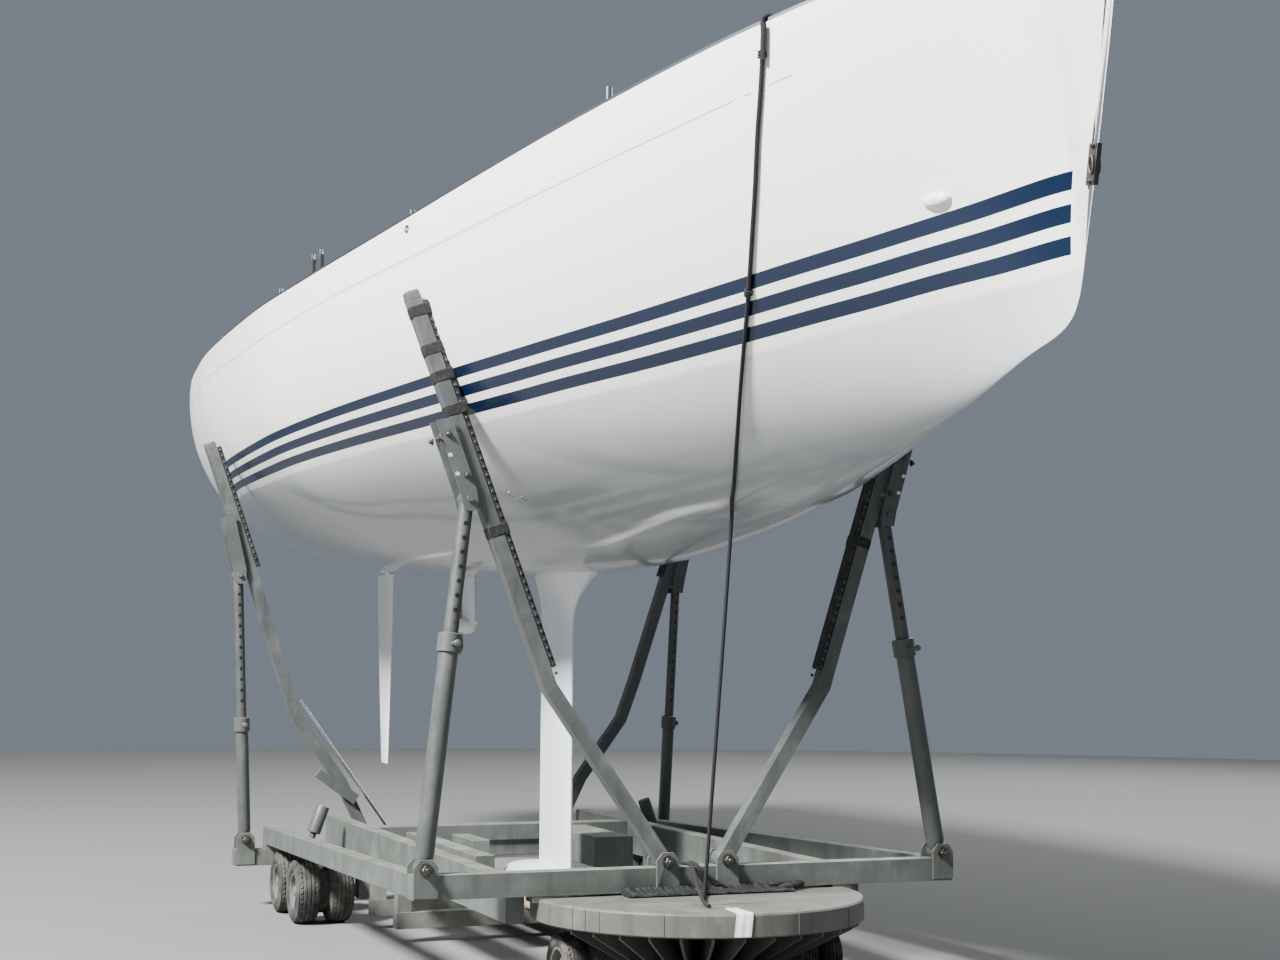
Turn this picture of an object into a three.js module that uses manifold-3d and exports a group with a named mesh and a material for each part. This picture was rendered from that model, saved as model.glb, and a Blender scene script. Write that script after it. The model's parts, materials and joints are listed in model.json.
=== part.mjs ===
// Sailing yacht of 12.3 m on its yard transporter, in millimetres.
// +X is forward, +Y is to port, +Z is up, and Z = 0 is the ground under the wheels.
// X = 0 is the middle of the whole length, Y = 0 is the centre plane of hull and transporter.
import * as THREE from 'three';
import { mergeVertices } from 'three/addons/utils/BufferGeometryUtils.js';
import Module from 'manifold-3d';

const wasm = await Module();
wasm.setup();

// Driving dimensions of the yacht
const bowX = 6110;
const transomX = -6190;
const gap = 0.3;
const deckCamber = 55;
const hullStations = [
  // x, keelZ, sheerZ, halfBeam, roundness at the keel, fullness of the topsides
  [bowX, 4405, 4445, 14, 1.0, 1.0],
  [bowX - 55, 4070, 4438, 52, 1.05, 1.0],
  [bowX - 115, 3720, 4430, 96, 1.1, 1.0],
  [bowX - 175, 3430, 4421, 140, 1.15, 1.0],
  [bowX - 215, 3140, 4415, 170, 1.2, 1.0],
  [bowX - 245, 3035, 4411, 192, 1.2, 1.0],
  [bowX - 290, 2965, 4405, 222, 1.25, 1.02],
  [bowX - 370, 2920, 4396, 274, 1.3, 1.04],
  [bowX - 580, 2868, 4372, 398, 1.35, 1.1],
  [bowX - 1000, 2738, 4325, 610, 1.5, 1.25],
  [bowX - 1600, 2598, 4262, 858, 1.7, 1.45],
  [bowX - 2550, 2430, 4172, 1140, 1.95, 1.6],
  [bowX - 3250, 2350, 4110, 1310, 2.1, 1.68],
  [bowX - 4450, 2272, 4025, 1550, 2.25, 1.8],
  [bowX - 5600, 2262, 3975, 1735, 2.45, 1.95],
  [bowX - 6800, 2290, 3950, 1862, 2.7, 2.1],
  [bowX - 8300, 2360, 3950, 1892, 2.6, 2.1],
  [bowX - 9600, 2430, 3965, 1820, 2.4, 2.05],
  [bowX - 10900, 2525, 3995, 1672, 2.15, 2.0],
  [transomX, 2640, 4035, 1470, 1.9, 1.95],
];
const hullSlices = 34;
const hullSidePoints = 11;

// Cockpit: seats, foot well and the helm's area, each as [x0, x1, half width, floor z]
const cockpitCuts = {
  seats: [-4150, -1700, 1150, 3740],
  well: [-5500, -1850, 470, 3350],
  helm: [-5500, -4150, 1230, 3480],
};
const locker = { x0: -3750, x1: -2350, y0: 690, y1: 1040, floorZ: 3430, lid: 26, rim: 34 };

// Keel, rudder and drive
const finLeadX = 375;
const finChord = 610;
const finThickness = 122;
const bulb = { noseX: 520, length: 1460, middleZ: 345, height: 220, width: 360 };
const rudder = { stockX: -4400, topZ: 2462, bottomZ: 860, topChord: 560, bottomChord: 220, thickness: 92 };
const drive = { x: -1960, hubZ: 1985, hubRadius: 62, shaftLength: 330 };

// Deckhouse and deck gear
const deckhouse = { x0: -1620, x1: 3050, rise: 285 };
const wheelRadius = 430;
const helmX = -4560;
const helmY = 720;
const helmZ = 4130;

// Driving dimensions of the transporter
const frontX = 2310;
const beam = { height: 120, width: 120, topZ: 665, halfLength: 1510 };
const aftX = -2030;
const aftBeam = { height: 110, width: 120, topZ: 400, halfLength: 1660 };
const sideBeam = { height: 120, width: 90, frontY: 1462, aftY: 1400, frontZ: 665, aftZ: 552 };
const mainBeam = { height: 220, topZ: 620, innerY: 900, outerY: 1000 };
const tyre = { radius: 208, width: 165, twinStep: 225, rimRadius: 122 };
const wheelY = 1240;
const axleXs = [-1080, -1680];
const turntable = { topZ: 512, thickness: 132, radius: 885, x: 2360 };
const bogieTyre = { radius: 180, width: 120, twinStep: 140, y: 640 };
const plank = { topZ: 234, thickness: 48, halfWidth: 180 };

const paint = new THREE.MeshStandardMaterial({ color: 0x8f928e, roughness: 0.62, metalness: 0.15 });
const finishes = {
  gelcoat: new THREE.MeshStandardMaterial({ color: 0xeeede9, roughness: 0.22, metalness: 0 }),
  antifouling: new THREE.MeshStandardMaterial({ color: 0xd7dadf, roughness: 0.55, metalness: 0 }),
  stainless: new THREE.MeshStandardMaterial({ color: 0xb9bcbe, roughness: 0.3, metalness: 1 }),
  aluminium: new THREE.MeshStandardMaterial({ color: 0x8d9093, roughness: 0.42, metalness: 1 }),
  acrylic: new THREE.MeshStandardMaterial({ color: 0x20262c, roughness: 0.08, metalness: 0 }),
  bronze: new THREE.MeshStandardMaterial({ color: 0xa07a45, roughness: 0.35, metalness: 1 }),
  rubber: new THREE.MeshStandardMaterial({ color: 0x1c1d1e, roughness: 0.85, metalness: 0 }),
  wood: new THREE.MeshStandardMaterial({ color: 0xb08a5c, roughness: 0.7, metalness: 0 }),
  rope: new THREE.MeshStandardMaterial({ color: 0x1f2534, roughness: 0.9, metalness: 0 }),
  paint,
};

const yacht = new THREE.Group();
const transporter = new THREE.Group();

// Shared shape helpers
function geometryFromTriangles(points, triangles) {
  const geometry = new THREE.BufferGeometry();
  geometry.setAttribute('position', new THREE.Float32BufferAttribute(points.flat(), 3));
  geometry.setIndex(triangles.flat());
  return geometry;
}

function solid(geometry) {
  const bare = geometry.clone();
  bare.deleteAttribute('normal');
  bare.deleteAttribute('uv');
  const merged = mergeVertices(bare, 1e-3);
  const vertProperties = new Float32Array(merged.attributes.position.array);
  const triVerts = new Uint32Array(merged.index.array);
  if (signedVolume(vertProperties, triVerts) < 0) {
    for (let i = 0; i < triVerts.length; i += 3) {
      const second = triVerts[i + 1];
      triVerts[i + 1] = triVerts[i + 2];
      triVerts[i + 2] = second;
    }
  }
  return new wasm.Manifold(new wasm.Mesh({ numProp: 3, vertProperties, triVerts }));
}

function signedVolume(positions, index) {
  let sum = 0;
  const [a, b, c] = [new THREE.Vector3(), new THREE.Vector3(), new THREE.Vector3()];
  for (let i = 0; i < index.length; i += 3) {
    a.fromArray(positions, 3 * index[i]);
    b.fromArray(positions, 3 * index[i + 1]);
    c.fromArray(positions, 3 * index[i + 2]);
    sum += a.dot(b.cross(c));
  }
  return sum / 6;
}

function addPiece(group, name, shape, finish) {
  const mesh = shape.getMesh();
  const geometry = new THREE.BufferGeometry();
  geometry.setAttribute('position', new THREE.Float32BufferAttribute(mesh.vertProperties, 3));
  geometry.setIndex(new THREE.Uint32BufferAttribute(mesh.triVerts, 1));
  geometry.computeVertexNormals();
  const piece = new THREE.Mesh(geometry, finishes[finish]);
  piece.name = name;
  group.add(piece);
  return piece;
}

function join(...shapes) {
  return shapes.reduce((sum, shape) => sum.add(shape));
}

// The same solid moved, turned or sheared by a matrix
function moved(shape, matrix) {
  const mesh = shape.getMesh();
  const geometry = new THREE.BufferGeometry();
  geometry.setAttribute('position', new THREE.Float32BufferAttribute(mesh.vertProperties, 3));
  geometry.setIndex(new THREE.Uint32BufferAttribute(mesh.triVerts, 1));
  return solid(geometry.applyMatrix4(matrix));
}

function box(x0, x1, y0, y1, z0, z1) {
  const geometry = new THREE.BoxGeometry(x1 - x0, Math.abs(y1 - y0), z1 - z0);
  geometry.translate((x0 + x1) / 2, (y0 + y1) / 2, (z0 + z1) / 2);
  return solid(geometry);
}

function rod(from, to, radius, sides = 12, endRadius = radius) {
  const start = new THREE.Vector3(...from);
  const direction = new THREE.Vector3(...to).sub(start);
  const geometry = new THREE.CylinderGeometry(endRadius, radius, direction.length(), sides);
  geometry.translate(0, direction.length() / 2, 0);
  geometry.applyQuaternion(new THREE.Quaternion().setFromUnitVectors(
    new THREE.Vector3(0, 1, 0), direction.clone().normalize()));
  geometry.translate(...from);
  return solid(geometry);
}

// A closed loft through rings of equal point count, with fans over both ends
function loft(rings) {
  const count = rings[0].length;
  const points = rings.flat();
  const triangles = [];
  for (let r = 0; r + 1 < rings.length; r += 1) {
    for (let i = 0; i < count; i += 1) {
      const j = (i + 1) % count;
      const [low, high] = [r * count, (r + 1) * count];
      triangles.push([low + i, low + j, high + j], [low + i, high + j, high + i]);
    }
  }
  const ends = [[rings[0], 0, true], [rings.at(-1), (rings.length - 1) * count, false]];
  for (const [ring, start, flip] of ends) {
    const middle = [0, 1, 2].map((k) => ring.reduce((sum, point) => sum + point[k], 0) / count);
    points.push(middle);
    for (let i = 0; i < count; i += 1) {
      const j = (i + 1) % count;
      const triangle = [start + i, start + j, points.length - 1];
      triangles.push(flip ? triangle.reverse() : triangle);
    }
  }
  return solid(geometryFromTriangles(points, triangles));
}

// A flat outline in the Y-Z plane, given as [y, z], made thick along X
function plateAcross(outline, x0, x1) {
  const shape = new THREE.Shape(outline.map(([y, z]) => new THREE.Vector2(y, z)));
  const geometry = new THREE.ExtrudeGeometry(shape, { depth: x1 - x0, bevelEnabled: false });
  geometry.applyMatrix4(new THREE.Matrix4().makeBasis(
    new THREE.Vector3(0, 1, 0), new THREE.Vector3(0, 0, 1), new THREE.Vector3(1, 0, 0)));
  geometry.translate(x0, 0, 0);
  return solid(geometry);
}

// A box section that follows a path of [y, z] points in a plane across the hull
function armAlong(path, depth, x0, x1) {
  const normals = path.map((point, i) => {
    const [before, after] = [path[Math.max(i - 1, 0)], path[Math.min(i + 1, path.length - 1)]];
    const [dy, dz] = [after[0] - before[0], after[1] - before[1]];
    const length = Math.hypot(dy, dz);
    return [-dz / length, dy / length];
  });
  const offset = (sign) => path.map(([y, z], i) => [
    y + sign * normals[i][0] * depth / 2, z + sign * normals[i][1] * depth / 2]);
  return plateAcross([...offset(1), ...offset(-1).reverse()], x0, x1);
}

// A path that an extrusion steps along from one given point to the next
class PointPath extends THREE.Curve {
  constructor(points) {
    super();
    this.points = points.map((point) => new THREE.Vector3(...point));
  }

  getPoint(t, target = new THREE.Vector3()) {
    const reach = THREE.MathUtils.clamp(t, 0, 1) * (this.points.length - 1);
    const i = Math.min(Math.floor(reach), this.points.length - 2);
    return target.lerpVectors(this.points[i], this.points[i + 1], reach - i);
  }

  getPointAt(t, target) {
    return this.getPoint(t, target);
  }

  getTangentAt(t, target) {
    return this.getTangent(t, target);
  }
}

function ropeAlong(points, radius, sides = 8) {
  const ring = new THREE.Shape(Array.from({ length: sides }, (_, i) => {
    const angle = 2 * Math.PI * i / sides;
    return new THREE.Vector2(radius * Math.cos(angle), radius * Math.sin(angle));
  }));
  const extrudePath = new PointPath(points);
  const settings = { steps: points.length - 1, extrudePath, bevelEnabled: false };
  return solid(new THREE.ExtrudeGeometry(ring, settings));
}

function lathe(profile, segments) {
  const points = profile.map(([radius, height]) => new THREE.Vector2(radius, height));
  return new THREE.LatheGeometry(points, segments);
}

// The hull: one smooth curve through each column of the table of stations
function column(index) {
  const xs = hullStations.map((station) => station[0]);
  const values = hullStations.map((station) => station[index]);
  const slopes = xs.map((x, i) => {
    if (i === 0 || i === xs.length - 1) {
      const j = i === 0 ? 1 : i;
      return (values[j] - values[j - 1]) / (xs[j] - xs[j - 1]);
    }
    const before = (values[i] - values[i - 1]) / (xs[i] - xs[i - 1]);
    const after = (values[i + 1] - values[i]) / (xs[i + 1] - xs[i]);
    return before * after <= 0 ? 0 : 2 * before * after / (before + after);
  });
  return (x) => {
    let i = xs.findIndex((edge, k) => k > 0 && x >= edge);
    if (i < 1) i = xs.length - 1;
    const span = xs[i] - xs[i - 1];
    const u = (x - xs[i - 1]) / span;
    const ease = 3 * u ** 2 - 2 * u ** 3;
    const leaving = u ** 3 - 2 * u ** 2 + u;
    const arriving = u ** 3 - u ** 2;
    return values[i - 1] + ease * (values[i] - values[i - 1])
      + span * (leaving * slopes[i - 1] + arriving * slopes[i]);
  };
}
const keelZ = column(1);
const sheerZ = column(2);
const halfBeam = column(3);
const keelRoundness = column(4);
const sideFullness = column(5);

function hullHalfBreadth(x, z) {
  const t = THREE.MathUtils.clamp((z - keelZ(x)) / (sheerZ(x) - keelZ(x)), 0, 1);
  return halfBeam(x) * (1 - (1 - t) ** keelRoundness(x)) ** (1 / sideFullness(x));
}

function hullRing(x, grow = 0) {
  const starboard = [];
  for (let i = 1; i <= hullSidePoints; i += 1) {
    const t = (i / hullSidePoints) ** 2.1;
    const z = keelZ(x) + t * (sheerZ(x) - keelZ(x));
    starboard.push([x, -(hullHalfBreadth(x, z) + grow), z - grow * (1 - t) + grow * t]);
  }
  const port = starboard.map(([px, y, z]) => [px, -y, z]).reverse();
  const keelLine = [x, 0, keelZ(x) - grow];
  const deckMiddle = [x, 0, sheerZ(x) + grow + deckCamber * Math.min(1, halfBeam(x) / 900)];
  return [keelLine, ...starboard, deckMiddle, ...port];
}

// The hull's slices: the stations of the stem, then even steps to the transom
const stemXs = hullStations.slice(0, 9).map((station) => station[0]);
const evenSteps = hullSlices - stemXs.length;
const hullXs = [...stemXs, ...Array.from({ length: evenSteps }, (_, i) => (
  stemXs.at(-1) + (transomX - stemXs.at(-1)) * (i + 1) / evenSteps))];

function hullForm(grow = 0) {
  return loft(hullXs.map((x, i) => {
    const end = i === 0 ? grow : i === hullXs.length - 1 ? -grow : 0;
    return hullRing(x, grow).map(([px, y, z]) => [px + end, y, z]);
  }));
}
const grownHull = hullForm(gap);

function deckZ(x, y) {
  const rise = deckCamber * Math.min(1, halfBeam(x) / 900);
  return sheerZ(x) + rise * (1 - Math.abs(y) / halfBeam(x));
}

function makeHull() {
  const topZ = 4600;
  let hull = hullForm();
  for (const [x0, x1, half, floorZ] of Object.values(cockpitCuts)) {
    hull = hull.subtract(box(x0, x1, -half, half, floorZ, topZ));
  }
  for (const side of [-1, 1]) {
    const [low, high] = [side * locker.y0, side * locker.y1].sort((a, b) => a - b);
    hull = hull.subtract(box(locker.x0, locker.x1, low, high, locker.floorZ, topZ));
  }
  return hull;
}
addPiece(yacht, 'hull', makeHull(), 'gelcoat');

// Keel: a fin with a wide root fairing, standing on a bulb that reaches aft
function foilRing(leadX, chord, thickness, z, points = 10) {
  const side = Array.from({ length: points + 1 }, (_, i) => {
    const u = (1 - Math.cos(Math.PI * i / points)) / 2;
    const round = 0.2969 * Math.sqrt(u) - 0.126 * u;
    const half = 2.6 * thickness * (round - 0.3516 * u ** 2 + 0.2843 * u ** 3 - 0.1 * u ** 4);
    return [leadX - chord * u, half, z];
  });
  const other = side.slice(1, -1).reverse().map(([x, y, level]) => [x, -y, level]);
  const tail = [1, -1].map((edge) => [leadX - chord, edge * thickness * 0.02, z]);
  return [...side.slice(0, -1), ...tail, ...other];
}

function makeKeelFin() {
  const rootTopZ = 2420;
  const levels = [
    // z, how far the root reaches ahead of the fin, thickness
    [rootTopZ, 560, 620],
    [2330, 455, 500],
    [2240, 320, 330],
    [2150, 150, 210],
    [2060, 40, 150],
    [1960, 0, finThickness],
    [380, 0, finThickness],
  ];
  const fin = loft(levels.map(([z, extra, thickness]) => (
    foilRing(finLeadX + extra, finChord + 1.4 * extra, thickness, z))));
  return fin.subtract(grownHull).subtract(bulbForm(gap));
}

function bulbForm(grow = 0) {
  const shares = [0, 0.015, 0.06, 0.14, 0.26, 0.42, 0.6, 0.78, 0.92, 1];
  const fullness = [0.1, 0.32, 0.6, 0.84, 0.98, 1, 0.88, 0.6, 0.3, 0.1];
  const sides = 20;
  return loft(shares.map((share, k) => Array.from({ length: sides }, (_, i) => {
    const angle = 2 * Math.PI * i / sides;
    const half = fullness[k] * bulb.width / 2 + grow;
    const tall = fullness[k] ** 0.7 * bulb.height / 2 + grow;
    const end = share === 0 ? grow : share === 1 ? -grow : 0;
    const level = bulb.middleZ - (1 - fullness[k]) * bulb.height * 0.12;
    return [bulb.noseX - share * bulb.length + end, half * Math.cos(angle), level + tall * Math.sin(angle)];
  })));
}
addPiece(yacht, 'keel_fin', makeKeelFin(), 'antifouling');
addPiece(yacht, 'keel_bulb', bulbForm(), 'antifouling');

// Spade rudder on a stock that ends under the bearing's flat face
const bearingZ = rudder.topZ + 18;
function makeRudder() {
  const blade = loft([0, 0.5, 0.92, 1].map((share) => {
    const chord = rudder.topChord + (rudder.bottomChord - rudder.topChord) * share ** 1.2;
    const thin = share === 1 ? 0.45 : 1 - 0.55 * share;
    const z = rudder.topZ + (rudder.bottomZ - rudder.topZ) * share;
    return foilRing(rudder.stockX + chord * 0.24, chord, rudder.thickness * thin, z, 8);
  }));
  const stock = rod([rudder.stockX, 0, rudder.topZ - 60], [rudder.stockX, 0, bearingZ - gap], 34);
  return join(blade, stock);
}
const bearing = rod([rudder.stockX, 0, bearingZ], [rudder.stockX, 0, bearingZ + 260], 78, 24)
  .subtract(grownHull);
addPiece(yacht, 'rudder_bearing', bearing, 'antifouling');
addPiece(yacht, 'rudder', makeRudder(), 'antifouling');

// Sail drive: a leg under the hull and a folding propeller behind its torpedo-shaped foot
function makeDriveLeg() {
  const leg = loft([2480, 2330, 2150, drive.hubZ].map((z, i) => (
    foilRing(drive.x + 150 + i * 6, 330, [150, 118, 92, 84][i], z, 8))));
  const foot = loft([0, 0.08, 0.3, 0.7, 1].map((share, k) => Array.from({ length: 20 }, (_, i) => {
    const radius = drive.hubRadius * [0.25, 0.7, 1, 1, 0.86][k];
    const angle = 2 * Math.PI * i / 20;
    const x = drive.x + 130 - share * drive.shaftLength;
    return [x, radius * Math.cos(angle), drive.hubZ + radius * Math.sin(angle)];
  })));
  return join(leg, foot).subtract(grownHull);
}
const propellerX = drive.x + 130 - drive.shaftLength - gap;
function makePropeller() {
  const hubRadius = drive.hubRadius * 0.8;
  const hub = rod([propellerX, 0, drive.hubZ], [propellerX - 105, 0, drive.hubZ], hubRadius, 20, 22);
  const blades = [-1, 1].map((side) => loft([30, 90, 160, 212].map((reach, k) => {
    const half = [24, 46, 44, 16][k];
    const pitch = [0.95, 0.7, 0.5, 0.42][k];
    const thick = [9, 7, 5, 3][k];
    return [[-1, -1], [1, -1], [1, 1], [-1, 1]].map(([along, across]) => [
      propellerX - 48 + side * (along * half * Math.sin(pitch)) + across * thick * Math.cos(pitch),
      along * half * Math.cos(pitch) - side * across * thick * Math.sin(pitch),
      drive.hubZ + side * reach]);
  })));
  return join(hub, ...blades);
}
addPiece(yacht, 'sail_drive', makeDriveLeg(), 'antifouling');
addPiece(yacht, 'propeller', makePropeller(), 'bronze');

// Deckhouse, with a raised track for the sliding hatch
const houseBands = [
  // share of the length from aft, half width at the foot, half width at the roof, rise
  [0, 1020, 900, 1],
  [0.3, 1060, 920, 1],
  [0.6, 930, 780, 0.86],
  [0.85, 680, 520, 0.55],
  [1, 430, 300, 0.12],
];
function houseRoofZ(x) {
  return deckZ(x, 0) + deckhouse.rise * THREE.MathUtils.clamp((deckhouse.x1 - x) / 2200, 0.12, 1);
}
function makeDeckhouse() {
  const rings = houseBands.map(([share, foot, roof, rise]) => {
    const x = deckhouse.x0 + share * (deckhouse.x1 - deckhouse.x0);
    const base = sheerZ(x) - 40;
    const top = deckZ(x, 0) + deckhouse.rise * rise;
    const arc = Array.from({ length: 9 }, (_, i) => {
      const y = roof * (1 - i / 4);
      return [x, y, top - 34 * (y / roof) ** 2 * rise];
    });
    return [[x, foot, base], ...arc, [x, -foot, base]];
  });
  return loft(rings).subtract(grownHull);
}
const hatchSlide = { x0: -1660, x1: -900, half: 375, z: 4330, thickness: 40 };
const hatchTrack = { x0: -1600, x1: -60, width: 30, lowZ: 4200 };
const entry = { x0: -1900, x1: -1150, half: 300, sillZ: 3990, topZ: 4700 };
function makeHouseWithTrack() {
  const tracks = [-1, 1].map((side) => {
    const [y0, y1] = [hatchSlide.half - hatchTrack.width, hatchSlide.half].map((y) => side * y)
      .sort((a, b) => a - b);
    return box(hatchTrack.x0, hatchTrack.x1, y0, y1, hatchTrack.lowZ, hatchSlide.z - gap);
  });
  const opening = box(entry.x0, entry.x1, -entry.half, entry.half, entry.sillZ, entry.topZ);
  return join(makeDeckhouse(), ...tracks).subtract(opening);
}
addPiece(yacht, 'deckhouse', makeHouseWithTrack(), 'gelcoat');
addPiece(yacht, 'companion_hatch', box(hatchSlide.x0, hatchSlide.x1, -hatchSlide.half, hatchSlide.half,
  hatchSlide.z, hatchSlide.z + hatchSlide.thickness), 'acrylic');

// Fore hatch on a frame that follows the deck
const foreHatch = { x0: 3330, x1: 3930, half: 300, frame: 24, lid: 30 };
const foreHatchZ = deckZ(foreHatch.x1, 0) + foreHatch.frame;
const foreFrame = box(foreHatch.x0, foreHatch.x1, -foreHatch.half, foreHatch.half,
  foreHatchZ - 130, foreHatchZ).subtract(grownHull);
addPiece(yacht, 'fore_hatch_frame', foreFrame, 'aluminium');
addPiece(yacht, 'fore_hatch_lid', box(foreHatch.x0, foreHatch.x1, -foreHatch.half, foreHatch.half,
  foreHatchZ + gap, foreHatchZ + gap + foreHatch.lid), 'acrylic');

// Locker lids on the seats
for (const [name, side] of [['locker_lid_port', 1], ['locker_lid_starboard', -1]]) {
  const [low, high] = [locker.y0 - locker.rim, locker.y1 + locker.rim].map((y) => side * y)
    .sort((a, b) => a - b);
  const seatZ = cockpitCuts.seats[3] + gap;
  addPiece(yacht, name, box(locker.x0 - locker.rim, locker.x1 + locker.rim, low, high,
    seatZ, seatZ + locker.lid), 'gelcoat');
}

// Two helms, each a pedestal and a spoked wheel in front of it
function makeHelmWheel(y) {
  const rim = new THREE.TorusGeometry(wheelRadius, 15, 6, 30);
  const spokes = Array.from({ length: 5 }, (_, i) => {
    const angle = 2 * Math.PI * i / 5 + Math.PI / 2;
    return rod([0, 0, 0], [wheelRadius * Math.cos(angle), wheelRadius * Math.sin(angle), 0], 8, 6);
  });
  const hub = rod([0, 0, -30], [0, 0, 30], 42, 12);
  const facingAft = new THREE.Matrix4().makeBasis(
    new THREE.Vector3(0, 1, 0), new THREE.Vector3(0, 0, 1), new THREE.Vector3(1, 0, 0));
  return moved(join(solid(rim), hub, ...spokes), facingAft.setPosition(helmX, y, helmZ));
}
for (const [name, side] of [['port', 1], ['starboard', -1]]) {
  const y = side * helmY;
  const pedestal = loft([
    [cockpitCuts.helm[3] + gap, 150, 120],
    [cockpitCuts.helm[3] + 120, 110, 90],
    [helmZ - 60, 90, 80],
    [helmZ + 90, 60, 70],
  ].map(([z, halfX, halfY]) => [[1, 1], [-1, 1], [-1, -1], [1, -1]].map(([sx, sy]) => (
    [helmX + 150 + sx * halfX, y + sy * halfY, z]))));
  const shaft = rod([helmX + 120, y, helmZ], [helmX + 30 + gap, y, helmZ], 28);
  addPiece(yacht, `helm_pedestal_${name}`, join(pedestal, shaft), 'gelcoat');
  addPiece(yacht, `helm_wheel_${name}`, makeHelmWheel(y), 'stainless');
}

// Winches beside the cockpit
for (const [name, side] of [['port', 1], ['starboard', -1]]) {
  const [x, y] = [-3350, side * 1330];
  const drum = lathe([[0, 0], [78, 0], [72, 22], [50, 40], [46, 92], [66, 122], [66, 138], [0, 138]], 28);
  const winch = solid(drum.rotateX(Math.PI / 2).translate(x, y, deckZ(x, y) + 8));
  const foot = rod([x, y, deckZ(x, y) - 60], [x, y, deckZ(x, y) + 12], 86, 24);
  addPiece(yacht, `winch_${name}`, join(winch, foot).subtract(grownHull), 'stainless');
}

// Mast partner: the collar that is left on the deckhouse with the mast out
const mastCollar = { x: 1150, radius: 150, boreRadius: 112, height: 45 };
const roofZ = houseRoofZ(mastCollar.x) + gap;
const collarRod = (low, high, radius) => rod([mastCollar.x, 0, low], [mastCollar.x, 0, high], radius, 32);
const collar = collarRod(roofZ, roofZ - gap + mastCollar.height, mastCollar.radius);
const collarBore = collarRod(roofZ - 50, roofZ + 80, mastCollar.boreRadius);
addPiece(yacht, 'mast_collar', collar.subtract(collarBore), 'aluminium');

// Toe rails along the sheer, with the bases that carry stanchions and cleats
const railFittings = [
  // distance from the bow, length, height above the rail
  [1150, 240, 26],
  [3600, 70, 60],
  [5450, 70, 60],
  [6500, 210, 34],
  [7500, 70, 60],
  [9700, 70, 60],
  [11500, 230, 34],
];
function makeToeRail(side) {
  const seat = gap + 0.3;
  const xs = hullXs.filter((x) => halfBeam(x) > 110);
  const rail = loft(xs.map((x) => {
    const [outer, inner] = [halfBeam(x) + 3, halfBeam(x) - 22];
    const [low, lowInner] = [sheerZ(x) + seat, deckZ(x, inner) + seat];
    const top = sheerZ(x) + 30;
    return [[outer, low], [outer, top], [inner, top], [inner, lowInner]].map(([y, z]) => [x, side * y, z]);
  }));
  const bases = railFittings.map(([fromBow, length, height]) => {
    const x = bowX - fromBow;
    const y = side * (halfBeam(x) - 40);
    const lowZ = deckZ(x, y) + 6 + length * 0.04;
    return box(x - length / 2, x + length / 2, y - 30, y + 30, lowZ, sheerZ(x) + 20 + height);
  });
  return join(rail, ...bases);
}
addPiece(yacht, 'toe_rail_port', makeToeRail(1), 'aluminium');
addPiece(yacht, 'toe_rail_starboard', makeToeRail(-1), 'aluminium');

// Stem fitting: a folded plate over the stem head with a tab for the forestay, a narrow strip
// down the stem and a short bracket at its foot
function makeStemFitting() {
  const head = box(bowX - 260, bowX + 26, -38, 38, 4330, 4520);
  const strip = box(bowX - 300, bowX + 26, -12, 12, 3600, 4340);
  const bracket = box(bowX - 300, bowX + 26, -34, 34, 3560, 3725);
  const shell = hullForm(7).intersect(join(head, strip, bracket));
  const tab = box(bowX - 60, bowX + 18, -7, 7, 4430, 4500);
  return join(shell, tab).subtract(hullForm(gap));
}
addPiece(yacht, 'stem_fitting', makeStemFitting(), 'stainless');

// Oval cover of a hull outlet on the starboard bow
const coverPlace = { x: bowX - 750, z: 3474, turn: 0.4 };
const coverY = -hullHalfBreadth(coverPlace.x, coverPlace.z);
const coverShell = new THREE.SphereGeometry(1, 20, 12).scale(66, 26, 30).rotateZ(coverPlace.turn);
const cover = solid(coverShell.translate(coverPlace.x, coverY, coverPlace.z));
addPiece(yacht, 'outlet_cover', cover.subtract(grownHull), 'gelcoat');

// Front cross beam with four clevises, wear pads and the king post of the turntable
const pinZ = 694;
const pinRadius = 17;
const outerPinY = 1450;
const innerPinY = 168;

function clevis(x, y, lowZ, pinLevel, halfWidth, halfGap) {
  const shoulder = halfWidth / 2;
  const outline = [
    [y - halfWidth, lowZ], [y + halfWidth, lowZ], [y + halfWidth, pinLevel + 10],
    [y + shoulder, pinLevel + 48], [y - shoulder, pinLevel + 48], [y - halfWidth, pinLevel + 10],
  ];
  const cheeks = [-1, 1].map((side) => x + side * (halfGap + cheekThickness / 2)).map((middle) => (
    plateAcross(outline, middle - cheekThickness / 2, middle + cheekThickness / 2)));
  const pin = rod([x - halfGap - 26, y, pinLevel], [x + halfGap + 26, y, pinLevel], pinRadius, 10);
  return join(...cheeks, pin);
}

const clevisGap = 59;
const cheekThickness = 14;
const frontBar = (grow = 0) => box(frontX - beam.width / 2 - grow, frontX + beam.width / 2 + grow,
  -beam.halfLength, beam.halfLength, beam.topZ - beam.height - grow, beam.topZ + grow);
function makeFrontBeam() {
  const low = beam.topZ - beam.height;
  const wearPads = [-1, 1].map((side) => {
    const [y0, y1] = [side * 690, side * 800].sort((a, b) => a - b);
    return box(frontX - 58, frontX + 58, y0, y1, turntable.topZ + gap, low + 5);
  });
  const kingPost = rod([turntable.x, 0, turntable.topZ + gap], [turntable.x, 0, low + 10], 60);
  const pins = [-outerPinY, -innerPinY, innerPinY, outerPinY];
  return join(frontBar(), kingPost, ...wearPads, ...pins.map((y) => (
    clevis(frontX, y, low + 10, pinZ, 62, clevisGap))));
}
addPiece(transporter, 'front_beam', makeFrontBeam(), 'paint');

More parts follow.
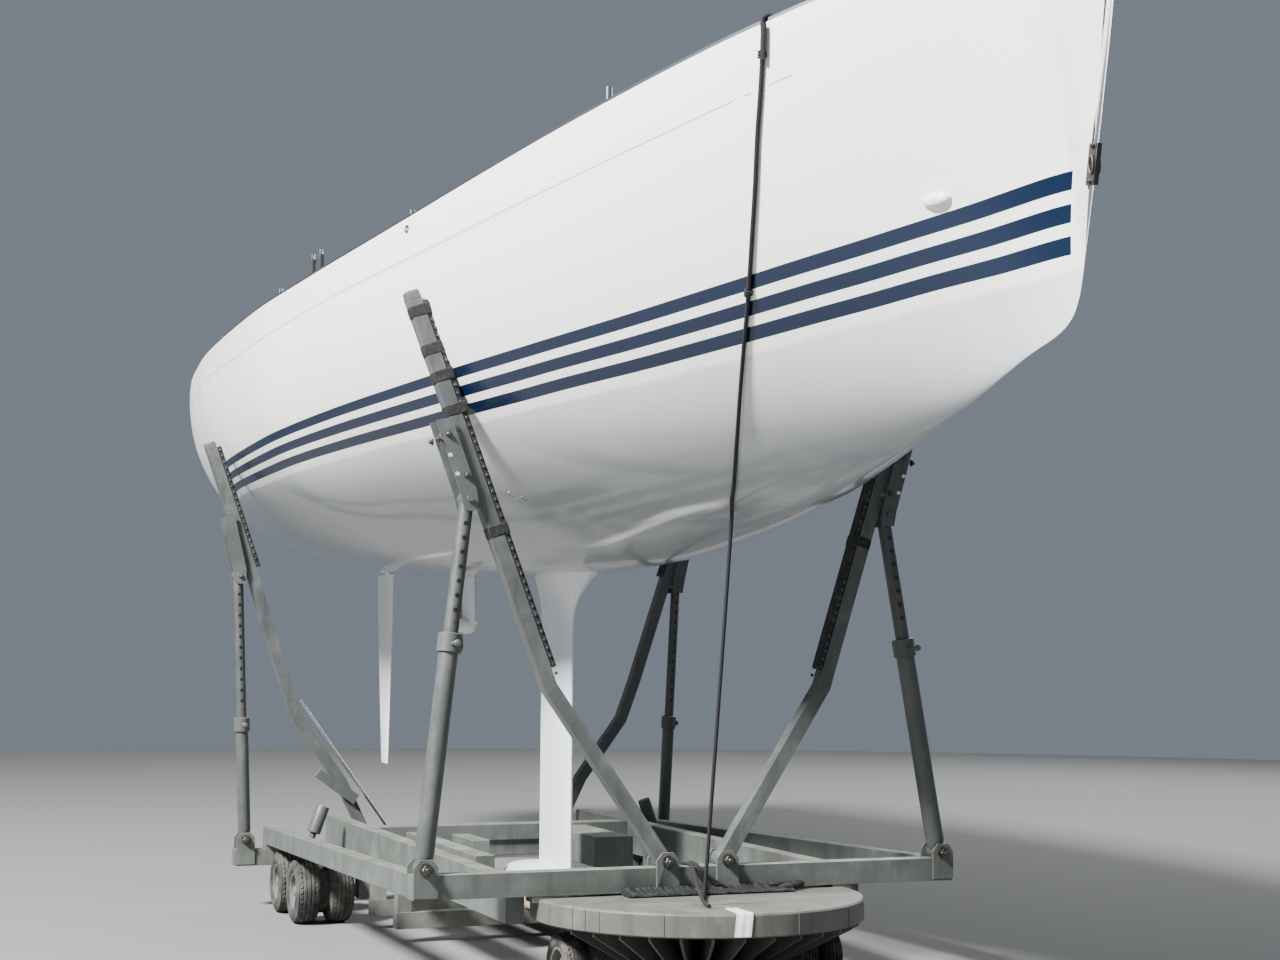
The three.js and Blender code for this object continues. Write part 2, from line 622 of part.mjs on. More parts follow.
// Arms: a lower reach, a knee and a steep upper reach with a rubber strip towards the hull.
// Each path is a list of [distance from the centre plane, height], and lean tips its top aft.
const armDepth = 75;
const armHalfWidth = 40;
const stripThickness = 32;
const stripHalfWidth = 36;
const armSets = {
  front: {
    x: frontX,
    lean: 0.08,
    path: [[innerPinY, pinZ], [783, 1592], [1496, 3595]],
    strutPin: [1210, 2545],
    strutFoot: [outerPinY, pinZ],
    strutRadii: [50, 38],
    collarShare: 0.59,
    eyeHalf: clevisGap - 1,
  },
  aft: {
    x: aftX,
    lean: 0,
    path: [[720, 470], [910, 860], [1230, 1295], [1335, 1580], [1580, 2330], [1898, 3225]],
    strutPin: [1678, 2320],
    strutFoot: [1585, 470],
    strutRadii: [44, 34],
    collarShare: 0.42,
    eyeHalf: clevisGap - 1,
  },
};

// Tips everything above the pin aft by a share of its height
function leanAft(shape, set) {
  const [, footZ] = set.path[0];
  return moved(shape, new THREE.Matrix4().set(
    1, 0, -set.lean, set.lean * footZ,
    0, 1, 0, 0,
    0, 0, 1, 0,
    0, 0, 0, 1));
}

function pinHole(set, y, z) {
  return rod([set.x - 140, y, z], [set.x + 140, y, z], pinRadius + gap, 10);
}

function makeArm(set, side) {
  const line = set.path.map(([y, z]) => [side * y, z]);
  const [footY, footZ] = line[0];
  const boxArm = armAlong(line, armDepth, set.x - armHalfWidth, set.x + armHalfWidth);
  const eye = rod([set.x - set.eyeHalf, footY, footZ], [set.x + set.eyeHalf, footY, footZ], 44);
  const [pinY, strutZ] = [side * set.strutPin[0], set.strutPin[1]];
  const cheeks = [-1, 1].map((edge) => {
    const middleX = set.x + edge * (clevisGap + 6);
    return plateAcross([
      [pinY - side * 46, strutZ - 62], [pinY + side * 30, strutZ - 62], [pinY + side * 44, strutZ + 20],
      [pinY + side * 128, strutZ + 400], [pinY + side * 46, strutZ + 420], [pinY - side * 46, strutZ + 40],
    ], middleX - 6, middleX + 6);
  });
  const crossRod = (reach, y, z, radius, sides) => rod(
    [set.x - clevisGap - reach, y, z], [set.x + clevisGap + reach, y, z], radius, sides);
  const spacers = [120, 330].map((rise) => (
    crossRod(10, side * (set.strutPin[0] + rise * 0.36 - 56), strutZ + rise, 20, 8)));
  const pin = crossRod(30, pinY, strutZ, pinRadius, 10);
  const leaned = leanAft(join(boxArm, ...cheeks, ...spacers, pin), set);
  return leaned.add(eye).subtract(pinHole(set, footY, footZ));
}

function makeStrip(set, side) {
  const upper = set.path.slice(-2);
  const [dy, dz] = [upper[1][0] - upper[0][0], upper[1][1] - upper[0][1]];
  const length = Math.hypot(dy, dz);
  const inward = (armDepth + stripThickness) / 2 + gap;
  const line = [0.04, 0.985].map((share) => [
    side * (upper[0][0] + dy * share - inward * dz / length),
    upper[0][1] + dz * share + inward * dy / length]);
  const strip = armAlong(line, stripThickness, set.x - stripHalfWidth, set.x + stripHalfWidth);
  return leanAft(strip, set).subtract(grownHull);
}

// Telescopic struts: a thick lower tube, a collar with a turning handle and a thinner upper tube
function makeStrut(set, side) {
  const start = new THREE.Vector3(set.x, side * set.strutFoot[0], set.strutFoot[1]);
  const end = new THREE.Vector3(set.x, side * set.strutPin[0], set.strutPin[1]);
  const along = end.clone().sub(start).normalize();
  const at = (reach) => start.clone().addScaledVector(along, reach).toArray();
  const middle = start.distanceTo(end) * set.collarShare;
  const full = start.distanceTo(end);
  const [thick, thin] = set.strutRadii;
  const [footEye, topEye] = [start, end].map((point) => rod(
    [set.x - set.eyeHalf, point.y, point.z], [set.x + set.eyeHalf, point.y, point.z], 38));
  const tubes = [
    rod(at(20), at(middle), thick),
    rod(at(middle - 30), at(middle + 70), thick + 12),
    rod(at(middle), at(full - 20), thin),
    rod([set.x, ...at(middle + 20).slice(1)], [set.x + 170, ...at(middle + 20).slice(1)], 11, 6),
  ];
  const leaned = leanAft(join(topEye, ...tubes).subtract(pinHole(set, end.y, end.z)), set);
  return leaned.add(footEye).subtract(pinHole(set, start.y, start.z));
}

// Aft cross beam, low behind the wheels, with an end post for each side beam
const mainForeX = frontX - beam.width / 2 - gap;
const sideForeX = frontX - clevisGap - cheekThickness - gap;
const sideAftX = aftX + aftBeam.width / 2 + gap;
const sideShare = (x) => (sideForeX - x) / (sideForeX - sideAftX);
const sideBeamY = (x) => sideBeam.frontY + (sideBeam.aftY - sideBeam.frontY) * sideShare(x);
const sideBeamTop = (x) => sideBeam.frontZ + (sideBeam.aftZ - sideBeam.frontZ) * sideShare(x);

// A block on one side of the centre plane, from the inner to the outer distance
function sideBlock(side, x0, x1, innerY, outerY, z0, z1) {
  const [y0, y1] = [side * innerY, side * outerY].sort((a, b) => a - b);
  return box(x0, x1, y0, y1, z0, z1);
}

function aftBar(grow = 0) {
  return box(aftX - aftBeam.width / 2 - grow, aftX + aftBeam.width / 2 + grow,
    -aftBeam.halfLength, aftBeam.halfLength, aftBeam.topZ - aftBeam.height - grow, aftBeam.topZ + grow);
}

function makeAftBeam() {
  const low = aftBeam.topZ - aftBeam.height;
  const endY = sideBeamY(sideAftX);
  const posts = [-1, 1].map((side) => (
    sideBlock(side, aftX - 50, aftX + aftBeam.width / 2, endY - 45, endY + 45, low + 10, sideBeam.aftZ)));
  const { path, strutFoot } = armSets.aft;
  const pins = [path[0][0], strutFoot[0]].flatMap((y) => [y, -y]);
  return join(aftBar(), ...posts, ...pins.map((y) => (
    clevis(aftX, y, low + 10, path[0][1], 62, clevisGap))));
}
addPiece(transporter, 'aft_beam', makeAftBeam(), 'paint');
const crossBars = { front: frontBar(2), aft: aftBar(2) };

for (const [end, set] of Object.entries(armSets)) {
  for (const [name, side] of [['port', 1], ['starboard', -1]]) {
    addPiece(transporter, `${end}_arm_${name}`, makeArm(set, side).subtract(crossBars[end]), 'paint');
    addPiece(transporter, `${end}_arm_pad_${name}`, makeStrip(set, side), 'rubber');
    addPiece(transporter, `${end}_strut_${name}`, makeStrut(set, side).subtract(crossBars[end]), 'paint');
  }
}

// Side beams, which fall a little towards the stern and stay clear above the tyres
for (const [name, side] of [['port', 1], ['starboard', -1]]) {
  const rings = [sideForeX, sideAftX].map((x) => {
    const [inner, outer] = [-1, 1].map((edge) => side * (sideBeamY(x) + edge * sideBeam.width / 2));
    const [low, high] = [sideBeamTop(x) - sideBeam.height, sideBeamTop(x)];
    return [[x, inner, low], [x, outer, low], [x, outer, high], [x, inner, high]];
  });
  addPiece(transporter, `side_beam_${name}`, loft(rings), 'paint');
}

// Two low cross members under the keel plank, hung on posts from the main beams
const crossXs = [-20, -670];
const crossTopZ = plank.topZ - plank.thickness - gap;
const mainLowZ = mainBeam.topZ - mainBeam.height;
for (const [name, x] of [['fore', crossXs[0]], ['mid', crossXs[1]]]) {
  const bar = box(x - 50, x + 50, -mainBeam.outerY, mainBeam.outerY, crossTopZ - 100, crossTopZ);
  const [innerY, outerY] = [mainBeam.innerY + 5, mainBeam.outerY - 5];
  const posts = [-1, 1].map((side) => (
    sideBlock(side, x - 45, x + 45, innerY, outerY, crossTopZ - 90, mainLowZ)));
  addPiece(transporter, `keel_cross_${name}`, join(bar, ...posts), 'paint');
}
addPiece(transporter, 'keel_plank', box(-1000, 560, -plank.halfWidth, plank.halfWidth,
  plank.topZ - plank.thickness, plank.topZ), 'wood');

// Main beams from the front beam to the top of the aft beam, with a hanger and a stub axle
// for each pair of tyres
const stubRadius = 34;
const twinOuterY = wheelY + tyre.twinStep / 2 + tyre.width / 2;
for (const [name, side] of [['port', 1], ['starboard', -1]]) {
  const { innerY, outerY, topZ } = mainBeam;
  const rail = sideBlock(side, aftX - 60, mainForeX, innerY, outerY, aftBeam.topZ + gap, topZ);
  const hangers = axleXs.map((x) => (
    sideBlock(side, x - 60, x + 60, innerY + 5, outerY - 5, tyre.radius - 60, aftBeam.topZ + 20)));
  const stubs = axleXs.map((x) => rod(
    [x, side * (outerY - 30), tyre.radius], [x, side * (twinOuterY - 30), tyre.radius], stubRadius, 20));
  addPiece(transporter, `wheel_carrier_${name}`, join(rail, ...hangers, ...stubs), 'paint');
}

// Cross frame between the main beams: a beam in two tiers with a stub reaching forward on each side
function makeFrameCross() {
  const inner = mainBeam.innerY - gap;
  const [low, high] = [mainLowZ + 4, mainBeam.topZ - 4];
  const tiers = [
    box(-1170, -1010, -inner, inner, high - 108, high),
    box(-1150, -1030, -inner, inner, low, high - 100),
  ];
  const stubs = [
    sideBlock(-1, -1020, -540, 240, 360, low, high - 60),
    sideBlock(1, -1020, -110, 330, 600, low, high - 20),
    sideBlock(-1, -1020, 620, 560, 680, low + 20, high - 40),
  ];
  return join(...tiers, ...stubs);
}
addPiece(transporter, 'frame_cross', makeFrameCross(), 'paint');

// A pair of tyres is one ring with a neck between the two, and the rim fills it
const wheelSegments = 24;
function wheelShapes(size, boreRadius, place, fit = gap) {
  const { radius, width, twinStep } = size;
  const rim = size.rimRadius ?? radius * 0.62;
  const shoulder = width * 0.5;
  const crown = width * 0.36;
  const bulge = (middle) => [
    [rim, middle - shoulder * 0.8], [radius * 0.88, middle - shoulder], [radius, middle - crown],
    [radius, middle + crown], [radius * 0.88, middle + shoulder], [rim, middle + shoulder * 0.8]];
  const low = bulge(-twinStep / 2);
  const high = bulge(twinStep / 2);
  const neck = [[rim + 14, -twinStep / 2 + shoulder * 0.8], [rim + 14, twinStep / 2 - shoulder * 0.8]];
  const outline = [...low.slice(0, -1), ...neck, ...high.slice(1)];
  const tyres = lathe([...outline, outline[0]], wheelSegments);
  const half = twinStep / 2 + shoulder * 0.8;
  const rimOuter = rim - fit;
  const hubRadius = boreRadius + (rimOuter - boreRadius) * 0.42;
  const rimProfile = [[boreRadius, -half], [rimOuter, -half], [rimOuter, half], [rimOuter - 14, half],
    [rimOuter - 22, half - 60], [hubRadius, half - 74], [hubRadius, half - 20], [boreRadius, half - 20]];
  const rims = lathe([...rimProfile, rimProfile[0]], wheelSegments);
  const outwards = place[1] > 0 ? 0 : Math.PI;
  return [tyres, rims].map((geometry) => solid(geometry.rotateX(outwards).translate(...place)));
}
for (const [place, x] of [['fore', axleXs[0]], ['aft', axleXs[1]]]) {
  for (const [name, side] of [['port', 1], ['starboard', -1]]) {
    const [tyres, rims] = wheelShapes(tyre, stubRadius + gap, [x, side * wheelY, tyre.radius]);
    addPiece(transporter, `wheel_${place}_${name}_tyres`, tyres, 'rubber');
    addPiece(transporter, `wheel_${place}_${name}_rim`, rims, 'paint');
  }
}

// Front bogie: a turntable disc that carries its axle, gussets, drawbar and towing eye
const bogieStub = 24;
const drawbarReach = 1290;
const drawbarZ = 193;
const bogieGussetAngles = [-49, -35, -21, -7, 7, 21, 35, 49, 150, 180, 210];
function makeTurntable() {
  const { x, topZ, thickness, radius } = turntable;
  const disc = rod([x, 0, topZ - thickness], [x, 0, topZ], radius, 64);
  const underside = topZ - thickness + 4;
  const [axleHalf, stubEnd] = [bogieTyre.y - 150, bogieTyre.y + 120];
  const axle = box(x - 80, x + 80, -axleHalf, axleHalf, bogieTyre.radius - 50, underside);
  const stubs = [-1, 1].map((side) => rod([x, side * (axleHalf - 10), bogieTyre.radius],
    [x, side * stubEnd, bogieTyre.radius], bogieStub, 18));
  const rimReach = radius - 30;
  const web = [
    [60, underside], [rimReach, underside], [rimReach, underside - 30], [350, 150], [60, 150]];
  const gussets = bogieGussetAngles.map((degrees) => {
    const turn = new THREE.Matrix4().makeRotationZ(THREE.MathUtils.degToRad(degrees)).setPosition(x, 0, 0);
    return moved(loft([-6, 6].map((y) => web.map(([reach, z]) => [reach, y, z]))), turn);
  });
  const drawbar = box(x + 60, x + drawbarReach, -55, 55, drawbarZ - 28, drawbarZ + 28);
  const eye = rod([x + drawbarReach, 0, drawbarZ - 32], [x + drawbarReach, 0, drawbarZ + 32], 92, 28);
  const eyeHole = rod([x + drawbarReach, 0, drawbarZ - 90], [x + drawbarReach, 0, drawbarZ + 90], 42, 24);
  return join(disc, axle, ...stubs, ...gussets, drawbar, eye).subtract(eyeHole);
}
addPiece(transporter, 'turntable', makeTurntable(), 'paint');
for (const [name, side] of [['port', 1], ['starboard', -1]]) {
  const place = [turntable.x, side * bogieTyre.y, bogieTyre.radius];
  const fused = -2;
  const wheels = join(...wheelShapes(bogieTyre, bogieStub + gap, place, fused));
  addPiece(transporter, `wheel_bogie_${name}`, wheels, 'rubber');
}

// The bow lashing, from over the toe rail along the hull and down to the front beam
const ropeRadius = 9;
const lashingOnHull = [
  // x and z where the rope bears on the hull
  [4811, 4250], [4778, 4141], [4714, 3911], [4599, 3609], [4395, 3255], [4119, 2938], [3836, 2711],
];
function makeBowLashing() {
  const [topX] = lashingOnHull[0];
  const railZ = sheerZ(topX) + 34 + ropeRadius;
  const overRail = [[74, 0], [2, 0], [-20, -20]].map(([inboard, drop]) => (
    [topX, inboard - halfBeam(topX), railZ + drop]));
  const clear = 18;
  const steps = 3;
  const onHull = lashingOnHull.slice(1).flatMap(([x, z], i) => {
    const [fromX, fromZ] = lashingOnHull[i];
    return Array.from({ length: steps }, (_, k) => [
      fromX + (x - fromX) * k / steps, fromZ + (z - fromZ) * k / steps]);
  });
  const bearing = [...onHull, lashingOnHull.at(-1)].map(([x, z]) => (
    [x, -(hullHalfBreadth(x, z) + clear + ropeRadius), z]));
  const faceX = frontX + beam.width / 2 + ropeRadius + 2 * gap;
  const free = [[3570, -350, 2530], [faceX + 12, -36, 715], [faceX, -32, 640], [faceX, -32, 560]];
  return ropeAlong([...overRail, ...bearing, ...free], ropeRadius);
}
addPiece(yacht, 'bow_lashing', makeBowLashing(), 'rope');

// The table above measures from the front beam's place, and this puts the whole length's middle at X = 0
const middleShift = 31;
yacht.position.x = middleShift;
transporter.position.x = middleShift;

export default new THREE.Group().add(yacht, transporter);
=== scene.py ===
import json
import math

import bmesh
import bpy
import mathutils
import numpy as np
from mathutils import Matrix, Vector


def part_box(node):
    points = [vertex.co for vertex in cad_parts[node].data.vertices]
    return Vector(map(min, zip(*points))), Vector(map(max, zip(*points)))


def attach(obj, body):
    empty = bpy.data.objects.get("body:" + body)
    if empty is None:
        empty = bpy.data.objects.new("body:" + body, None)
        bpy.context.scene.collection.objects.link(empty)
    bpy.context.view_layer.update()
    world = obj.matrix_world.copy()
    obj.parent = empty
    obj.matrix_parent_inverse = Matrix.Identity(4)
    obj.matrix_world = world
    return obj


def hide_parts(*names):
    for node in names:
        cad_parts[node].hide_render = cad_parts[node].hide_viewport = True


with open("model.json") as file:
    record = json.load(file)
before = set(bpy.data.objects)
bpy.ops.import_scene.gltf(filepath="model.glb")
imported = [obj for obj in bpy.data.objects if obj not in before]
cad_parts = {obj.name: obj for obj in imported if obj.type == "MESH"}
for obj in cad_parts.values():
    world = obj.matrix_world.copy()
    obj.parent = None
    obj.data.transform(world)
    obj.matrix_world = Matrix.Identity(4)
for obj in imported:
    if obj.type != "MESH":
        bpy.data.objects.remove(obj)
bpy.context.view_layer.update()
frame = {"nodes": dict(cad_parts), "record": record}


# The view: eye height beside the yard road, off the starboard bow, looking aft and a little up.
# The lens covers 1280 pixels of width at a focal length of 1900 pixels.
view_place = (11.6053, -3.9121, 1.7015)
view_yaw, view_pitch, view_roll = 2.7708, 0.0972, 0.0065
view_width, view_focal = 1280, 1900
film_width, farthest = 36, 500


def place_camera():
    """The camera's axes are worked out from its heading, its pitch and its small roll."""
    camera_data = bpy.data.cameras.new("view")
    camera_data.sensor_width = film_width
    camera_data.lens = view_focal / view_width * film_width
    camera_data.clip_end = farthest
    camera = bpy.data.objects.new("view", camera_data)
    bpy.context.scene.collection.objects.link(camera)
    level = math.cos(view_pitch)
    ahead = mathutils.Vector(
        (level * math.cos(view_yaw), level * math.sin(view_yaw), math.sin(view_pitch)))
    across = ahead.cross(mathutils.Vector((0, 0, 1))).normalized()
    upward = across.cross(ahead)
    right = math.cos(view_roll) * across + math.sin(view_roll) * upward
    top = math.cos(view_roll) * upward - math.sin(view_roll) * across
    turned_to = mathutils.Matrix((right, top, -ahead)).transposed().to_4x4()
    camera.matrix_world = mathutils.Matrix.Translation(view_place) @ turned_to
    bpy.context.scene.camera = camera


place_camera()


# Bow lashing: a plaited navy rope of 19 mm from over the toe rail, along the starboard bow and
# down to the front beam. It is pulled tight, with two knots, so it is rigging and no loose cord.
bow_x, transom_x = 6.141, -6.159
hull_stations = np.array([
    # distance from the bow, keel height, sheer height, half beam, keel roundness, side fullness
    [0.0, 4.405, 4.445, 0.014, 1.0, 1.0],
    [0.055, 4.07, 4.438, 0.052, 1.05, 1.0],
    [0.115, 3.72, 4.43, 0.096, 1.1, 1.0],
    [0.175, 3.43, 4.421, 0.14, 1.15, 1.0],
    [0.215, 3.14, 4.415, 0.17, 1.2, 1.0],
    [0.245, 3.035, 4.411, 0.192, 1.2, 1.0],
    [0.29, 2.965, 4.405, 0.222, 1.25, 1.02],
    [0.37, 2.92, 4.396, 0.274, 1.3, 1.04],
    [0.58, 2.868, 4.372, 0.398, 1.35, 1.1],
    [1.0, 2.738, 4.325, 0.61, 1.5, 1.25],
    [1.6, 2.598, 4.262, 0.858, 1.7, 1.45],
    [2.55, 2.43, 4.172, 1.14, 1.95, 1.6],
    [3.25, 2.35, 4.11, 1.31, 2.1, 1.68],
    [4.45, 2.272, 4.025, 1.55, 2.25, 1.8],
    [5.6, 2.262, 3.975, 1.735, 2.45, 1.95],
    [6.8, 2.29, 3.95, 1.862, 2.7, 2.1],
    [8.3, 2.36, 3.95, 1.892, 2.6, 2.1],
    [9.6, 2.43, 3.965, 1.82, 2.4, 2.05],
    [10.9, 2.525, 3.995, 1.672, 2.15, 2.0],
    [12.3, 2.64, 4.035, 1.47, 1.9, 1.95],
])
deck_crown = 0.055
rope_radius = 0.0095
rail_over_deck = 0.024
lashing_top = 4.26
lashing_on_hull = np.array([
    # how far below its top the rope bears on the hull, and x there
    [0, 4.826], [0.119, 4.809], [0.254, 4.776], [0.349, 4.745], [0.576, 4.663], [0.763, 4.574],
    [1.005, 4.426], [1.21, 4.257], [1.397, 4.065], [1.549, 3.867], [1.702, 3.601], [1.816, 3.315],
])
lashing_end = ((2.915, -0.18, 0.585), (2.906, -0.18, 0.55), (2.93, -0.187, 0.545),
               (3.02, -0.2, 0.545))
beam_turns = (
    # where the rope passes round the front beam: the second and the third turn
    ((2.272, -0.04, 0.6), (2.275, -0.035, 0.676), (2.4, -0.03, 0.676), (2.43, -0.035, 0.655),
     (2.62, -0.095, 0.592), (2.86, -0.165, 0.548), (2.92, -0.182, 0.546)),
    ((2.276, 0.01, 0.676), (2.4, -0.004, 0.678), (2.424, 0.0, 0.655), (2.44, 0.1, 0.58),
     (2.45, 0.13, 0.574)),
)
upper_knot, lower_knot = 4.16, 3.25
doubled_heights, doubled_offset = (4.12, 4.3), (0.018, -0.004, 0.003)


def fair(table, along, column):
    """A smooth curve through one column of a table: a cubic from row to row, whose slope at a
    row is the harmonic mean of the slopes on both sides, or zero where they turn."""
    places, values = table[:, 0], table[:, column]
    steep = np.diff(values) / np.diff(places)
    product = steep[:-1] * steep[1:]
    total = np.where(product > 0, steep[:-1] + steep[1:], 1.0)
    slopes = np.concatenate([steep[:1], np.where(product > 0, 2 * product / total, 0), steep[-1:]])
    row = np.clip(np.searchsorted(places, along, side="right") - 1, 0, len(places) - 2)
    span = places[row + 1] - places[row]
    u = (along - places[row]) / span
    ease = 3 * u**2 - 2 * u**3
    bend = (u**3 - 2 * u**2 + u) * slopes[row] + (u**3 - u**2) * slopes[row + 1]
    return values[row] + ease * (values[row + 1] - values[row]) + span * bend


def hull_line(x, column):
    """One column of the hull's table at x, as a smooth curve over the distance from the bow."""
    return fair(hull_stations, bow_x - np.asarray(x, float), column)


def keel_z(x):
    """The height of the hull's lowest line at x."""
    return hull_line(x, 1)


def sheer_z(x):
    """The height of the deck's edge at x."""
    return hull_line(x, 2)


def half_beam(x):
    """Half the hull's width at the deck's edge at x."""
    return hull_line(x, 3)


def half_breadth(x, z):
    """Half beam times (1 - (1 - t)^n)^(1/m), where t is the share of the height above the keel."""
    t = np.clip((z - keel_z(x)) / (sheer_z(x) - keel_z(x)), 0, 1)
    return half_beam(x) * (1 - (1 - t) ** hull_line(x, 4)) ** (1 / hull_line(x, 5))


def hull_side(x, z, side, clear=0.0):
    """Places on one side of the hull, moved off it by a clearance, and the outward directions:
    the cross product of two small differences, one upwards and one forwards."""
    def spot(a, b):
        """The place on that side at x = a and z = b."""
        return np.stack([a, side * half_breadth(a, b), b], -1)

    x, z = np.asarray(x, float), np.asarray(z, float)
    upwards = spot(x, z + 0.005) - spot(x, z - 0.005)
    forwards = spot(x + 0.005, z) - spot(x - 0.005, z)
    outward = side * np.cross(upwards, forwards)
    outward /= np.linalg.norm(outward, axis=-1, keepdims=True)
    return spot(x, z) + clear * outward, outward


def grid(points, capped=False, wrap=True, uv=None):
    """A shape from points[row, column]: neighbours make a face. wrap joins the last column to
    the first, and capped closes the first and the last row with one face each."""
    rows, columns = points.shape[:2]
    index = np.arange(rows * columns).reshape(rows, columns)
    ring = np.concatenate([index, index[:, :1]], axis=1) if wrap else index
    corners = (slice(None, -1), slice(None, -1)), (slice(None, -1), slice(1, None)), \
        (slice(1, None), slice(1, None)), (slice(1, None), slice(None, -1))
    quads = np.stack([ring[c] for c in corners], -1).reshape(-1, 4)
    if uv is None:
        along = np.linspace(0, 1, rows)[:, None].repeat(ring.shape[1], 1)
        around = np.linspace(0, 1, ring.shape[1])[None].repeat(rows, 0)
        uv = np.stack([around, along], -1)
    loops = np.stack([uv[c] for c in corners], -2).reshape(-1, 2)
    ends = [index[0][::-1], index[-1]] if capped else []
    loops = np.concatenate([loops, np.zeros((len(ends) * columns, 2))])
    return {"points": points.reshape(-1, 3), "quads": quads, "ends": ends, "uv": loops}


def build(name, shapes, weld=1e-6):
    """One mesh from several shapes: doubles are merged and all faces are turned outwards."""
    points, faces, start = np.concatenate([shape["points"] for shape in shapes]), [], 0
    for shape in shapes:
        faces += (shape["quads"] + start).tolist()
        faces += [(end + start).tolist() for end in shape["ends"]]
        start += len(shape["points"])
    mesh = bpy.data.meshes.new(name)
    mesh.from_pydata(points.tolist(), [], faces)
    layer = mesh.uv_layers.new(name="surface")
    layer.data.foreach_set("uv", np.concatenate([shape["uv"] for shape in shapes]).ravel())
    work = bmesh.new()
    work.from_mesh(mesh)
    bmesh.ops.remove_doubles(work, verts=work.verts, dist=weld)
    bmesh.ops.recalc_face_normals(work, faces=work.faces)
    work.to_mesh(mesh)
    work.free()
    return mesh


def carried(profile, path, reference=(0, 0, 1)):
    """A profile of (across, up) points along a path: place = path + across * side + up * rise,
    where side is tangent x reference and rise is side x tangent, both of unit length."""
    path = np.asarray(path, float)
    profile = np.asarray(profile, float)
    tangent = np.gradient(path, axis=0)
    tangent /= np.linalg.norm(tangent, axis=1, keepdims=True)
    side = np.cross(tangent, np.asarray(reference, float))
    side /= np.linalg.norm(side, axis=1, keepdims=True)
    rise = np.cross(side, tangent)
    return path[:, None] + side[:, None] * profile[:, :1] + rise[:, None] * profile[:, 1:]


def ring_profile(radius, sides):
    """Points on a circle: radius times the cosine and the sine of even angles."""
    angle = np.linspace(0, 2 * math.pi, sides, endpoint=False)
    return radius * np.stack([np.cos(angle), np.sin(angle)], -1)


def lengths(path):
    """The distance along the path to each of its points."""
    steps = np.linalg.norm(np.diff(path, axis=0), axis=1)
    return np.concatenate([[0], np.cumsum(steps)])


def evened(path, step):
    """The path resampled to even steps along its length, each coordinate by straight pieces."""
    path = np.asarray(path, float)
    reach = lengths(path)
    even = np.linspace(0, reach[-1], max(2, round(reach[-1] / step) + 1))
    return np.stack([np.interp(even, reach, path[:, k]) for k in range(3)], -1)


def rounded(path, times=3):
    """Corner cutting: each round puts points at a quarter and three quarters of each stretch."""
    path = np.asarray(path, float)
    for _ in range(times):
        early = 0.75 * path[:-1] + 0.25 * path[1:]
        late = 0.25 * path[:-1] + 0.75 * path[1:]
        inner = np.stack([early, late], 1).reshape(-1, 3)
        path = np.concatenate([path[:1], inner, path[-1:]])
    return path


def tube(path, radius, sides=12, reference=(0, 0, 1)):
    """A round bar along a path with flat ends, its V coordinate in metres along the path."""
    points = carried(ring_profile(radius, sides), path, reference)
    around, along = np.meshgrid(np.linspace(0, 1, sides + 1), lengths(np.asarray(path, float)))
    return grid(points, capped=True, uv=np.stack([around, along], -1))


def placed(name, mesh, body, slot, *finishes, sharp=35):
    """An object at the origin that rides on its body, smooth but for edges over the angle."""
    made = bpy.data.objects.new(name, mesh)
    bpy.context.scene.collection.objects.link(made)
    mesh.materials.clear()
    for finish in finishes:
        mesh.materials.append(finish.made)
    mesh.shade_smooth()
    mesh.set_sharp_from_angle(angle=math.radians(sharp))
    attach(made, body)
    return made


def rolled(made, width, segments=1):
    """The object's edges over 30 degrees are rounded by a live bevel."""
    edges = made.modifiers.new("rolled_edges", "BEVEL")
    edges.width, edges.segments = width, segments
    return edges


def piece(name, shapes, body, slot, finish, stands_for=(), sharp=35, roll=None):
    """The shapes as one object on its body. It may take the place of nodes of the frame, and
    roll gives the width and the segments of its rounded edges."""
    made = placed(name, build(name, shapes), body, slot, finish, sharp=sharp)
    if roll:
        rolled(made, *roll)
    if stands_for:
        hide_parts(*stands_for)
    return made


def tone(red, green, blue):
    """A screen colour of 0 to 255 as linear light: ((c + 0.055) / 1.055)^2.4."""
    share = np.array([red, green, blue]) / 255
    linear = np.where(share <= 0.04045, share / 12.92, ((share + 0.055) / 1.055) ** 2.4)
    return (*linear.tolist(), 1.0)


def shaded(colour, factor, lift=0.0):
    """The colour times a factor plus a lift, held under 1, with its alpha left alone."""
    return tuple(min(1.0, factor * share + lift) for share in colour[:3]) + (1.0,)


